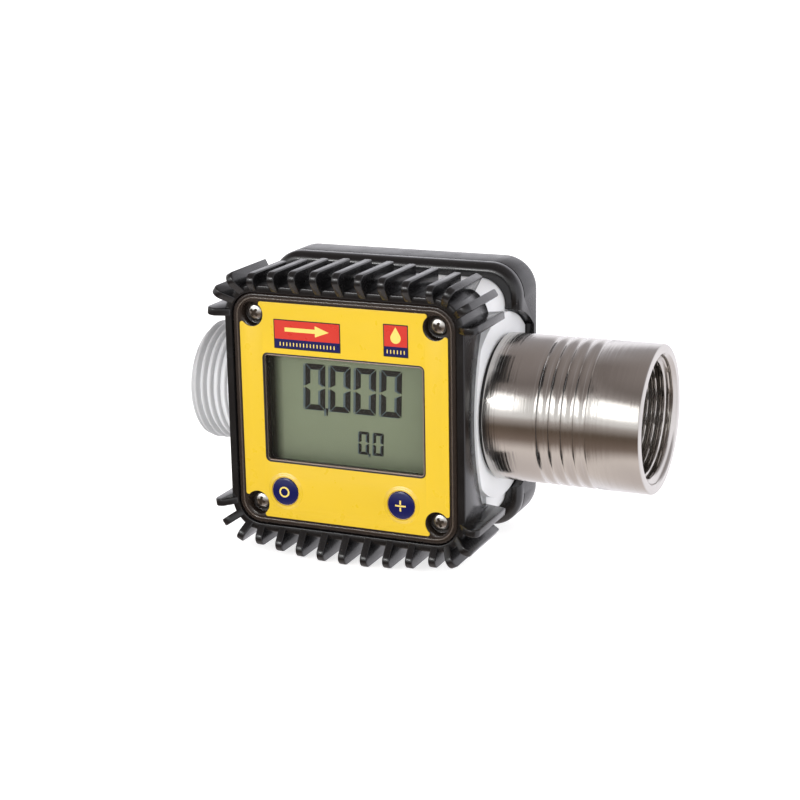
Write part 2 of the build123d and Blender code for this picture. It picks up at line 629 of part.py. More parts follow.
def rear_guard():
    """The smooth rubber guard over the rear, with an arch for each port."""
    guard = slab(frame_outline(SHELL_HALF_X, SHELL_HALF_Z, SHELL_CORNER), SHELL_FRONT_Y, SHELL_REAR_Y)
    guard = fillet(guard.faces().sort_by(Axis.Y)[-1].edges(), SHELL_REAR_FILLET)
    guard = fillet(guard.faces().sort_by(Axis.Y)[0].edges(), SHELL_BEAD)
    band = frame_outline(SHELL_HALF_X + CUT, SHELL_HALF_Z + CUT, SHELL_CORNER)
    band -= frame_outline(SHELL_HALF_X - SHELL_GROOVE_DEPTH, SHELL_HALF_Z - SHELL_GROOVE_DEPTH,
                          SHELL_CORNER - SHELL_GROOVE_DEPTH)
    arch_r = BOSS_R + ARCH_ROOM
    band -= Rectangle(2 * (SHELL_HALF_X + CUT), 2 * (arch_r + SHELL_GROOVE_GAP))
    groove = SHELL_FRONT_Y + SHELL_GROOVE_BACK
    guard -= slab(band, groove, groove + SHELL_GROOVE_WIDTH)
    inner = BODY_HALF + SHELL_ROOM
    guard -= slab(frame_outline(inner, inner, BODY_CORNER + SHELL_ROOM),
                  SHELL_FRONT_Y - CUT, REAR_COVER_BACK_Y)
    arch_end = BODY_REAR_Y + ARCH_ROOM
    arch = Circle(arch_r) & Pos(arch_end - 2 * arch_r, 0) * Rectangle(4 * arch_r, 4 * arch_r)
    arch += Circle(SLEEVE_R + ARCH_ROOM)
    cut = along_flow(arch, BODY_HALF, SHELL_HALF_X + CUT)
    guard = guard - cut - mirrored(cut)
    for x, z in screw_places():
        guard -= peg(x, z, HEAD_RECESS_R, REAR_COVER_BACK_Y - CUT, SHELL_REAR_Y + CUT)
    return guard


def rear_gasket():
    """Flat rubber frame between the rear cover and the body."""
    inner = BODY_HALF - BODY_WALL
    outline = frame_outline(BODY_HALF, BODY_HALF, BODY_CORNER)
    outline -= frame_outline(inner, inner, BODY_CORNER - BODY_WALL)
    gasket = slab(outline, BODY_REAR_Y, REAR_COVER_Y)
    for x, z in screw_places():
        gasket += peg(x, z, POST_R + REAR_POST_WALL, BODY_REAR_Y, REAR_COVER_Y)
    for x, z in screw_places():
        gasket -= peg(x, z, SCREW_R + SCREW_ROOM, BODY_REAR_Y - CUT, REAR_COVER_Y + CUT)
    return gasket


def rear_cover():
    """The lid over the batteries, hollowed inside, with countersunk screw seats."""
    lid = slab(frame_outline(BODY_HALF, BODY_HALF, BODY_CORNER), REAR_COVER_Y, REAR_COVER_BACK_Y)
    inner = BODY_HALF - BODY_WALL
    room = frame_outline(inner, inner, BODY_CORNER - BODY_WALL)
    for x, z in screw_places():
        room -= Pos(x, z) * Circle(POST_R + REAR_POST_WALL)
    lid -= slab(room, REAR_COVER_Y, REAR_COVER_BACK_Y - REAR_COVER_WALL)
    for x, z in screw_places():
        lid -= peg(x, z, HEAD_RECESS_R, REAR_COVER_BACK_Y - REAR_RECESS_DEPTH,
                   REAR_COVER_BACK_Y + CUT)
        lid -= peg(x, z, SCREW_R + SCREW_ROOM, REAR_COVER_Y - CUT, REAR_COVER_BACK_Y)
    return lid


def cell(side):
    """A round battery lying along X, with its positive end towards side."""
    half = CELL_LENGTH / 2
    body = rod(CELL_R, -half, half) + rod(CELL_NUB_R, half, half + CELL_NUB)
    if side < 0:
        body = mirrored(body)
    return Pos(0, CELL_Y, side * CELL_Z) * body


def battery_trays():
    """A channel for each battery, open at the back, with an end wall behind each contact."""
    trays = []
    for side in (1, -1):
        height = 2 * (CELL_R + CELL_ROOM + TRAY_WALL)
        place = Pos(0, side * CELL_Z)
        tray = slab(place * Rectangle(2 * TRAY_HALF, height), TRAY_FRONT_Y, CELL_Y + CELL_R / 2)
        inside = place * Rectangle(2 * (TRAY_HALF - TRAY_END), height - 2 * TRAY_WALL)
        tray -= slab(inside, TRAY_FRONT_Y + TRAY_WALL, BODY_REAR_Y)
        for x, z in contact_places():
            tray -= slab(Pos(x, z) * contact_slot(), TRAY_FRONT_Y - CUT, TRAY_FRONT_Y + TRAY_WALL + CUT)
        trays.append(tray)
    return trays


def battery_contact(sx, sz, reach):
    """A contact strip from the board to a battery's end, with a raised pad of some reach."""
    section = Pos(CONTACT_X, CELL_Z) * Rectangle(CONTACT_THICK, CONTACT_WIDTH)
    strip = slab(section, BOARD_BACK_Y, CELL_Y + CELL_R / 2)
    pad_end = CONTACT_X - CONTACT_THICK / 2
    pad = Pos(0, CELL_Y, CELL_Z) * turned([(pad_end, 0), (pad_end, CONTACT_PAD_R),
                                           (pad_end - reach, CONTACT_PAD_R / 2), (pad_end - reach, 0)])
    contact = strip + pad
    if sx < 0:
        contact = mirrored(contact)
    if sz < 0:
        contact = mirror(contact, Plane.XY)
    return contact


def positive_contacts():
    """The contacts at the ends with a nub."""
    return [battery_contact(side, side, CONTACT_REACH - CELL_NUB) for side in (1, -1)]


def negative_contacts():
    """The contacts at the flat ends."""
    return [battery_contact(-side, side, CONTACT_REACH) for side in (1, -1)]


def vane():
    """One vane of a straightener, from the hub to the outer ring, at the top."""
    length = STRAIGHTENER_LENGTH - HUB_GAP
    reach = SEAT_R - STRAIGHTENER_WALL / 2
    plate = Box(length, VANE_THICK, reach, align=(Align.MIN, Align.CENTER, Align.MIN))
    return Pos(CHAMBER_HALF + HUB_GAP, 0, 0) * plate


def straightener():
    """The outlet straightener: ring, vanes and a hub with a rounded nose."""
    outer = SEAT_R - SLIP_FIT
    part = pipe(outer, outer - STRAIGHTENER_WALL, CHAMBER_HALF, SEAT_END)
    for i in range(VANE_COUNT):
        part += Rot(360 / VANE_COUNT * i, 0, 0) * vane()
    nose_start = SEAT_END - NOSE_LENGTH
    nose = Pos(nose_start, 0, 0) * scale(Sphere(HUB_R), by=(NOSE_LENGTH / HUB_R, 1, 1))
    part += rod(HUB_R, HUB_START, nose_start) + nose
    part -= rod(BUSH_R + PRESS_ROOM, HUB_START - CUT, HUB_START + BUSH_LENGTH)
    part -= rod(SHAFT_R + SHAFT_FIT, HUB_START, HUB_START + BUSH_LENGTH + SHAFT_END_PLAY)
    return part


def bush():
    """The outlet bearing bush of the rotor's shaft."""
    return pipe(BUSH_R, SHAFT_R + SHAFT_FIT, HUB_START, HUB_START + BUSH_LENGTH)


def thrust_washers():
    """The washers between the rotor's hub and the straighteners' hubs."""
    washer = pipe(WASHER_R, SHAFT_R + SHAFT_FIT, ROTOR_HALF + WASHER_PLAY, HUB_START)
    return [washer, mirrored(washer)]


def rotor_blade():
    """One helical blade, twisted about the flow axis."""
    tip = BORE_R - TIP_GAP
    root = HUB_R - BLADE_THICK
    section = Pos(0, (root + tip) / 2) * Rectangle(BLADE_THICK, tip - root)
    face = (flow_plane(-ROTOR_HALF) * section).face()
    blade = Solid.extrude_linear_with_rotation(face, (-ROTOR_HALF, 0, 0), (2 * ROTOR_HALF, 0, 0), BLADE_TWIST)
    return blade & rod(tip, -ROTOR_HALF, ROTOR_HALF)


def rotor():
    """The turbine rotor: hub with helical blades and two magnet pockets."""
    wheel = rod(HUB_R, -ROTOR_HALF, ROTOR_HALF)
    blade = rotor_blade()
    for i in range(BLADE_COUNT):
        wheel += Rot(360 / BLADE_COUNT * i, 0, 0) * blade
    wheel -= rod(SHAFT_R + PRESS_ROOM, -2 * ROTOR_HALF, 2 * ROTOR_HALF)
    for side in (1, -1):
        wheel -= magnet(side, PRESS_ROOM, CUT)
    return wheel


def magnet(side, room, extra):
    """A magnet in the rotor's end, beside the shaft, or the pocket that takes it."""
    offset = (HUB_R + SHAFT_R) / 2
    return Pos(0, side * offset, 0) * rod(MAGNET_R + room, ROTOR_HALF - MAGNET_DEPTH, ROTOR_HALF + extra)


def spring_rings():
    """The open rings that keep the straighteners in."""
    rings = []
    outer = SEAT_R + RING_GROOVE - SLIP_FIT
    for x in ring_places():
        ring = pipe(outer, outer - RING_WIDTH, x, x + RING_THICK)
        mouth = 2 * outer * math.sin(math.radians(RING_MOUTH_ANGLE / 2))
        rings.append(ring - Pos(x, 0, -outer) * Box(4 * RING_THICK, mouth, 4 * RING_WIDTH))
    return rings


def outlet_sleeve():
    """The turned sleeve: seat for the outlet thread, neck and a female pipe thread."""
    seat = THREAD_R + THREAD_FIT
    neck = SEAT_R + SLEEVE_NECK_STEP
    rim = THREAD_BORE_R + SLEEVE_SINK
    sleeve = turned([
        (SLEEVE_START, seat), (SLEEVE_START, SLEEVE_R - SLEEVE_BACK_CHAMFER),
        (SLEEVE_START + SLEEVE_BACK_CHAMFER, SLEEVE_R), (SLEEVE_END - SLEEVE_CHAMFER, SLEEVE_R),
        (SLEEVE_END, SLEEVE_R - SLEEVE_CHAMFER), (SLEEVE_END, rim),
        (SLEEVE_END - SLEEVE_SINK, THREAD_BORE_R), (NECK_END, THREAD_BORE_R),
        (NECK_END, neck), (NECK_START, neck), (NECK_START, seat)])
    for i in range(GROOVE_COUNT):
        middle = (SLEEVE_START + GROOVE_FIRST + i * GROOVE_PITCH, SLEEVE_R + GROOVE_R - GROOVE_DEPTH)
        sleeve -= revolve(Pos(*middle) * Circle(GROOVE_R), Axis.X)
    return sleeve


def sleeve_gasket():
    """Flat gasket between the end of the outlet thread and the sleeve's shoulder."""
    return pipe(THREAD_R - GASKET_ROOM, SEAT_R, REACH, NECK_START)


def outlet_seal():
    """Black ring between the port boss and the sleeve."""
    return pipe(THREAD_R + SEAL_WIDTH, THREAD_R + THREAD_FIT, BOSS_REACH, SLEEVE_START)


def build():
    """Every node's name with its solid or solids."""
    nodes = {
        "meter_body": meter_body(), "front_guard": front_guard(), "rear_guard": rear_guard(),
        "rear_gasket": rear_gasket(), "rear_cover": rear_cover(), "rear_screws": rear_screws(),
        "display_label": display_label(), "front_cover": front_cover(), "cover_gasket": cover_gasket(),
        "front_screws": front_screws(), "lcd_frame": lcd_frame(), "lcd_glass": lcd_glass(),
        "lcd_reflector": lcd_reflector(), "contact_strips": contact_strips(),
        "circuit_board": circuit_board(), "switch_bodies": switch_bodies(),
        "pulse_sensor": back_component(SENSOR_SIZE, 0, 0),
        "micro_chip": back_component(CHIP_SIZE, 0, WINDOW_BOTTOM + CHIP_RAISE),
        "battery_upper": cell(1), "battery_lower": cell(-1), "battery_trays": battery_trays(),
        "positive_contacts": positive_contacts(), "negative_contacts": negative_contacts(),
        "outlet_straightener": straightener(), "inlet_straightener": mirrored(straightener()),
        "outlet_bush": bush(), "inlet_bush": mirrored(bush()), "thrust_washers": thrust_washers(),
        "rotor": rotor(), "rotor_shaft": rod(SHAFT_R, -HUB_START - BUSH_LENGTH, HUB_START + BUSH_LENGTH),
        "rotor_magnets": [magnet(side, 0, 0) for side in (1, -1)], "spring_rings": spring_rings(),
        "outlet_sleeve": outlet_sleeve(), "sleeve_gasket": sleeve_gasket(), "outlet_seal": outlet_seal(),
    }
    for name, x in KEYS.items():
        nodes[name + "_key"] = key(x)
        nodes[name + "_plunger"] = plunger(x)
    return nodes


os.makedirs("parts", exist_ok=True)
for name, shape in build().items():
    solids = shape if isinstance(shape, list) else [shape]
    placed = [Pos(REACH, 0, 0) * piece for piece in solids]
    node = placed[0] if len(placed) == 1 else Compound(children=placed)
    export_step(node, "parts/" + name + ".step")
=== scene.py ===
"""A digital flow meter with a square display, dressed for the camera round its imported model."""
import json
import logging
import math
from collections.abc import Callable, Sequence
from dataclasses import dataclass
from enum import Enum

import bmesh
import bpy
from mathutils import Matrix, Vector


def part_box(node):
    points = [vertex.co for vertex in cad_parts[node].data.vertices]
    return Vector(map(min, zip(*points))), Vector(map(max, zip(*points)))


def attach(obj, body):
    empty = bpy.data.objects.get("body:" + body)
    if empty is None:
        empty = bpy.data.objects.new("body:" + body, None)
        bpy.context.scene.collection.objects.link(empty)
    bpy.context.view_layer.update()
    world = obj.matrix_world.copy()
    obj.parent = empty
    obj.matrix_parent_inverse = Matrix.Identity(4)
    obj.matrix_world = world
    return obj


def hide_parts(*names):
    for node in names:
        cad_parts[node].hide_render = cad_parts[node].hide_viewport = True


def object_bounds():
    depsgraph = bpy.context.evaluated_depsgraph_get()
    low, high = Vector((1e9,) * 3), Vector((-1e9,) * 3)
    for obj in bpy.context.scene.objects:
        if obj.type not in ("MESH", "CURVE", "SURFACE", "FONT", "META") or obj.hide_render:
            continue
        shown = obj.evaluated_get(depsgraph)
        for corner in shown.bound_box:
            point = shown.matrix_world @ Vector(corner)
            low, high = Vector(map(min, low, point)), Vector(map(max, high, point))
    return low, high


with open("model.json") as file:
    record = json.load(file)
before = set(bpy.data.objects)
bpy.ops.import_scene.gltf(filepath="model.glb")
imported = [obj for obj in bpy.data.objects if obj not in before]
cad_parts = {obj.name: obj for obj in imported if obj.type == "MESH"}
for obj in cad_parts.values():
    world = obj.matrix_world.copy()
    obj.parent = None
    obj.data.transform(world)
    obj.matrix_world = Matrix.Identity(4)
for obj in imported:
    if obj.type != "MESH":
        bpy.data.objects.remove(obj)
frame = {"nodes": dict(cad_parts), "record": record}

CAD_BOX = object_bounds()
MM = 0.001
PIPE_PITCH = 25.4 / 11 * MM      # eleven threads to the inch
THREAD_DEPTH = 1.47 * MM
THREAD_CREST = 16.62 * MM        # outer radius of the male pipe thread
TOOTH_FLAT = 0.14                # share of a turn that a thread's valley is flat
TOOTH_FLANK = 0.72               # share that its flank takes
TOOTH_ROUND = 0.45               # how round it is, from 0 for straight flanks to 1
CREASE = 32.0                    # degrees: edges sharper than this stay sharp
ROUND_CREASE = 40.0              # the same for turned pieces and the guard
FINE_CREASE = 60.0               # the same for threads and thin lines

log = logging.getLogger("flow_meter")

Point = tuple[float, float, float]
Colour = tuple[float, float, float]
Stops = tuple[tuple[float, Colour], ...]


class Body(Enum):
    """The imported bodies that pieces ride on."""

    METER = "meter"
    RESET = "reset_button"
    CAL = "cal_button"


# Node building


def add_node(tree: bpy.types.NodeTree, kind: str, inputs: dict[str | int, object] | None = None,
             **settings: object) -> bpy.types.Node:
    """Adds a node to a tree.

    Args:
        tree: the tree.
        kind: the node's type.
        inputs: for each input, by name or number, the socket that feeds it or its own value.
        settings: the node's own settings, made before its inputs are.

    Returns:
        The node.
    """
    node = tree.nodes.new(kind)
    for name, value in settings.items():
        setattr(node, name, value)
    for name, value in (inputs or {}).items():
        if isinstance(value, bpy.types.NodeSocket):
            tree.links.new(value, node.inputs[name])
        else:
            node.inputs[name].default_value = value
    return node


class Shader:
    """A material's node tree, with one short call for each kind of node it uses."""

    def __init__(self, name: str) -> None:
        """Starts an opaque material with one principled shader.

        Args:
            name: the material's name.
        """
        self.material = bpy.data.materials.new(name)
        self.material.use_nodes = True
        self.tree = self.material.node_tree
        self.tree.nodes.clear()
        self.bsdf = self.add("ShaderNodeBsdfPrincipled")
        self.add("ShaderNodeOutputMaterial", {"Surface": self.bsdf.outputs["BSDF"]})
        self._position = self.add("ShaderNodeTexCoord").outputs["Object"]

    def add(self, kind: str, inputs: dict[str | int, object] | None = None, **settings: object) -> bpy.types.Node:
        """Adds a node to this material."""
        return add_node(self.tree, kind, inputs, **settings)

    def set(self, **values: float | Sequence[float]) -> None:
        """Sets the shader's own sockets, named with _ for each space.

        Args:
            values: each socket's value; a colour may leave its alpha out.
        """
        for name, value in values.items():
            socket = self.bsdf.inputs[name.replace("_", " ")]
            if isinstance(value, (tuple, list)) and len(value) == 3 and len(socket.default_value) == 4:
                value = (*value, 1.0)
            socket.default_value = value

    def drive(self, name: str, source: bpy.types.NodeSocket) -> None:
        """Links a node's result to one of the shader's sockets."""
        self.tree.links.new(source, self.bsdf.inputs[name])

    def place(self, scale: Point = (1, 1, 1)) -> bpy.types.NodeSocket:
        """The object's coordinates, stretched by a factor on each axis."""
        return self.add("ShaderNodeMapping", {"Scale": scale, "Vector": self._position}).outputs["Vector"]

    def axis(self, name: str) -> bpy.types.NodeSocket:
        """One coordinate of the object, X, Y or Z, in metres."""
        return self.add("ShaderNodeSeparateXYZ", {0: self._position}).outputs[name]

    def noise(self, scale: float, detail: float = 2.0, stretch: Point = (1, 1, 1)) -> bpy.types.NodeSocket:
        """Cloudy noise.

        Args:
            scale: cells per metre.
            detail: octaves.
            stretch: factor on each axis of the coordinates.

        Returns:
            The noise value, 0 to 1.
        """
        inputs = {"Scale": scale, "Detail": detail, "Vector": self.place(stretch)}
        return self.add("ShaderNodeTexNoise", inputs).outputs["Fac"]

    def cells(self, scale: float) -> bpy.types.NodeSocket:
        """Distance to the nearest of many random points, for specks and pits."""
        return self.add("ShaderNodeTexVoronoi", {"Scale": scale, "Vector": self.place()}).outputs["Distance"]

    def spread(self, source: bpy.types.NodeSocket, low: float, high: float,
               to_low: float, to_high: float) -> bpy.types.NodeSocket:
        """A value spread from one range to another, clamped.

        Args:
            source: the value.
            low: value that gives to_low.
            high: value that gives to_high.
            to_low: result at the low end.
            to_high: result at the high end.

        Returns:
            The new value.
        """
        inputs = {"Value": source, "From Min": low, "From Max": high, "To Min": to_low, "To Max": to_high}
        return self.add("ShaderNodeMapRange", inputs).outputs["Result"]

    def maths(self, operation: str, a: bpy.types.NodeSocket, b: bpy.types.NodeSocket | float) -> bpy.types.NodeSocket:
        """One arithmetic step on two values."""
        return self.add("ShaderNodeMath", {0: a, 1: b}, operation=operation).outputs[0]

    def blend(self, fac: bpy.types.NodeSocket, a: Colour, b: Colour) -> bpy.types.NodeSocket:
        """A colour between two colours.

        Args:
            fac: where between them, 0 to 1.
            a: the colour at 0.
            b: the colour at 1.

        Returns:
            The colour.
        """
        ramp = self.add("ShaderNodeValToRGB", {"Fac": fac})
        for element, colour in zip(ramp.color_ramp.elements, (a, b)):
            element.color = (*colour, 1)
        return ramp.outputs["Color"]

    def scatter_x(self, amount: bpy.types.NodeSocket) -> bpy.types.NodeSocket:
        """The surface's normal leaning along X by a small amount, as fine turned rings make it.

        Args:
            amount: how far it leans.

        Returns:
            The normal.
        """
        lean = self.add("ShaderNodeCombineXYZ", {"X": amount})
        normal = self.add("ShaderNodeNewGeometry").outputs["Normal"]
        total = self.add("ShaderNodeVectorMath", {0: normal, 1: lean.outputs[0]})
        return self.add("ShaderNodeVectorMath", {0: total.outputs[0]}, operation="NORMALIZE").outputs[0]

    def bump(self, height: bpy.types.NodeSocket, distance: float, strength: float = 1.0,
             under: bpy.types.NodeSocket | None = None) -> bpy.types.NodeSocket:
        """A bump from a height of 0 to 1.

        Args:
            height: the height.
            distance: what a height of 1 stands for, in metres.
            strength: how much of it shows.
            under: a normal that this bump is laid on.

        Returns:
            The normal.
        """
        inputs = {"Strength": strength, "Distance": distance, "Height": height}
        if under is not None:
            inputs["Normal"] = under
        return self.add("ShaderNodeBump", inputs).outputs["Normal"]

    def clouds(self, scale: float, detail: float, dark: Colour, light: Colour) -> None:
        """Colours the surface between two colours, by noise."""
        self.drive("Base Color", self.blend(self.noise(scale, detail), dark, light))

    def wear(self, scale: float, detail: float, low: float, high: float) -> None:
        """Varies the roughness between two values, by noise."""
        self.drive("Roughness", self.spread(self.noise(scale, detail), 0.3, 0.7, low, high))

    def grain(self, scale: float, detail: float, depth: float, strength: float) -> None:
        """Gives the surface a fine bump, by noise."""
        self.drive("Normal", self.bump(self.noise(scale, detail), depth, strength))


# Finishes


@dataclass(frozen=True)
class MouldedPlastic:
    """A moulded plastic: fine grain, faint clouds in its colour, a soft sheen."""

    name: str
    dark: Colour
    light: Colour
    roughness: float = 0.42
    grain: float = 1500.0
    depth: float = 0.012 * MM
    subsurface: float = 0.0
    gloss: float = 0.5

    def build(self) -> bpy.types.Material:
        """Makes the material.

        Returns:
            The material.
        """
        shader = Shader(self.name)
        shader.set(Specular_IOR_Level=self.gloss)
        if self.subsurface:
            shader.set(Subsurface_Weight=self.subsurface, Subsurface_Radius=(0.6 * MM, 0.5 * MM, 0.4 * MM),
                       Subsurface_Scale=1.0)
        shader.clouds(45, 3, self.dark, self.light)
        shader.wear(120, 4, self.roughness - 0.06, self.roughness + 0.06)
        shader.grain(self.grain, 3, self.depth, 0.6)
        return shader.material


@dataclass(frozen=True)
class GuardRubber:
    """Black moulded rubber with a dull sheen, faint bloom and a few specks of dust."""

    name: str
    roughness: float = 0.38

    def build(self) -> bpy.types.Material:
        """Makes the material.

        Returns:
            The material.
        """
        shader = Shader(self.name)
        shader.set(Specular_IOR_Level=0.6)
        bloom = shader.blend(shader.noise(70, 4), (0.004, 0.0038, 0.0042), (0.009, 0.0086, 0.0092))
        speck = shader.spread(shader.cells(420), 0.035, 0.05, 1.0, 0.0)
        mix = shader.add("ShaderNodeMix", {"Factor": speck, "A": bloom, "B": (0.11, 0.10, 0.095, 1)},
                         data_type="RGBA")
        shader.drive("Base Color", mix.outputs["Result"])
        shader.wear(160, 4, self.roughness - 0.07, self.roughness + 0.1)
        fine = shader.bump(shader.noise(2600, 3), 0.015 * MM, 0.5)
        shader.drive("Normal", shader.bump(shader.noise(220, 2), 0.05 * MM, 0.35, fine))
        return shader.material


@dataclass(frozen=True)
class PrintedFilm:
    """Printed film: an even colour under a smooth skin with a slight ripple."""

    name: str
    ink: Colour
    ink_light: Colour
    roughness: float = 0.3
    gloss: float = 0.35
    coat: float = 0.08

    def build(self) -> bpy.types.Material:
        """Makes the material.

        Returns:
            The material.
        """
        shader = Shader(self.name)
        shader.set(Specular_IOR_Level=self.gloss, Coat_Weight=self.coat, Coat_Roughness=0.12)
        shader.clouds(30, 2, self.ink, self.ink_light)
        shader.wear(300, 3, self.roughness - 0.04, self.roughness + 0.05)
        shader.grain(650, 2, 0.003 * MM, 0.5)
        return shader.material


@dataclass(frozen=True)
class ClearPlastic:
    """Clear moulded plastic, drawn as a thin tinted film that lets the inside show."""

    name: str
    tint: Colour
    cover: float
    roughness: float = 0.06
    gloss: float = 0.6

    def build(self) -> bpy.types.Material:
        """Makes the material.

        Returns:
            The material.
        """
        shader = Shader(self.name)
        shader.set(Alpha=self.cover, Specular_IOR_Level=self.gloss)
        shader.clouds(60, 2, self.tint, tuple(c * 1.15 for c in self.tint))
        shader.wear(250, 2, self.roughness, self.roughness + 0.05)
        shader.grain(90, 2, 0.01 * MM, 0.4)
        return shader.material


@dataclass(frozen=True)
class Lip:
    """The window's lip: dark at the left, where it lies in shade, and paler from there on."""

    name: str
    dark: Colour
    pale: Colour
    edge_x: float
    width: float

    def build(self) -> bpy.types.Material:
        """Makes the material.

        Returns:
            The material.
        """
        shader = Shader(self.name)
        shader.set(Specular_IOR_Level=0.6, Coat_Weight=0.5)
        across = shader.spread(shader.axis("X"), self.edge_x, self.edge_x + self.width, 0.0, 0.85)
        cloud = shader.maths("MULTIPLY", shader.noise(160, 3), 0.3)
        shader.drive("Base Color", shader.blend(shader.maths("MULTIPLY", across, shader.maths("ADD", cloud, 0.85)),
                                                self.dark, self.pale))
        shader.wear(300, 2, 0.14, 0.24)
        return shader.material


class Marks(Enum):
    """How a metal's surface was finished."""

    TURNED = "rings about the flow axis"
    PLATED = "smooth with faint pits"
    GROUND = "fine grain"


@dataclass(frozen=True)
class Metal:
    """A metal whose marks follow how it was made."""

    name: str
    colour: Colour
    marks: Marks
    roughness: float

    def build(self) -> bpy.types.Material:
        """Makes the material.

        Returns:
            The material.
        """
        shader = Shader(self.name)
        shader.set(Metallic=1.0)
        light = tuple(min(1.0, c * 1.12) for c in self.colour)
        dark = tuple(c * 0.9 for c in self.colour)
        shader.clouds(60, 4, dark, light)
        if self.marks is Marks.TURNED:
            fine = shader.spread(shader.noise(1.0, 2, (9000, 0, 0)), 0.2, 0.8, -0.28, 0.28)
            wide = shader.spread(shader.noise(1.0, 3, (1500, 0, 0)), 0.2, 0.8, -0.13, 0.13)
            shader.drive("Normal", shader.scatter_x(shader.maths("ADD", fine, wide)))
            streak = shader.noise(1.0, 2, (2500, 3, 3))
            shader.drive("Roughness", shader.spread(streak, 0.3, 0.7, self.roughness - 0.03, self.roughness + 0.06))
        else:
            scale, depth = (900, 0.004 * MM) if self.marks is Marks.PLATED else (3000, 0.003 * MM)
            shader.wear(200, 4, self.roughness - 0.05, self.roughness + 0.08)
            shader.grain(scale, 3, depth, 0.5)
        return shader.material


@dataclass(frozen=True)
class DisplayGlass:
    """The display cell: grey-green, with the soft shade that the window's wall throws on its left."""

    name: str
    shade: Colour
    light: Colour
    edge_x: float
    shade_width: float
    roughness: float = 0.16

    def build(self) -> bpy.types.Material:
        """Makes the material.

        Returns:
            The material.
        """
        shader = Shader(self.name)
        shader.set(Specular_IOR_Level=0.35)
        fall = shader.spread(shader.axis("X"), self.edge_x, self.edge_x + self.shade_width, 0.0, 1.0)
        cloud = shader.maths("MULTIPLY", shader.noise(60, 2), 0.1)
        shader.drive("Base Color", shader.blend(shader.maths("ADD", fall, cloud), self.shade, self.light))
        shader.wear(400, 2, self.roughness, self.roughness + 0.05)
        return shader.material


@dataclass(frozen=True)
class CircuitLacquer:
    """Green solder mask with paler tracks and small pads."""

    name: str

    def build(self) -> bpy.types.Material:
        """Makes the material.

        Returns:
            The material.
        """
        shader = Shader(self.name)
        tracks = shader.add("ShaderNodeTexBrick", {
            "Vector": shader.place((1, 0, 1)), "Scale": 320, "Color1": (0.012, 0.10, 0.035, 1),
            "Color2": (0.016, 0.13, 0.045, 1), "Mortar": (0.03, 0.22, 0.08, 1)})
        shader.drive("Base Color", tracks.outputs["Color"])
        shader.wear(300, 3, 0.25, 0.4)
        shader.drive("Normal", shader.bump(tracks.outputs["Fac"], 0.03 * MM, 0.4))
        return shader.material


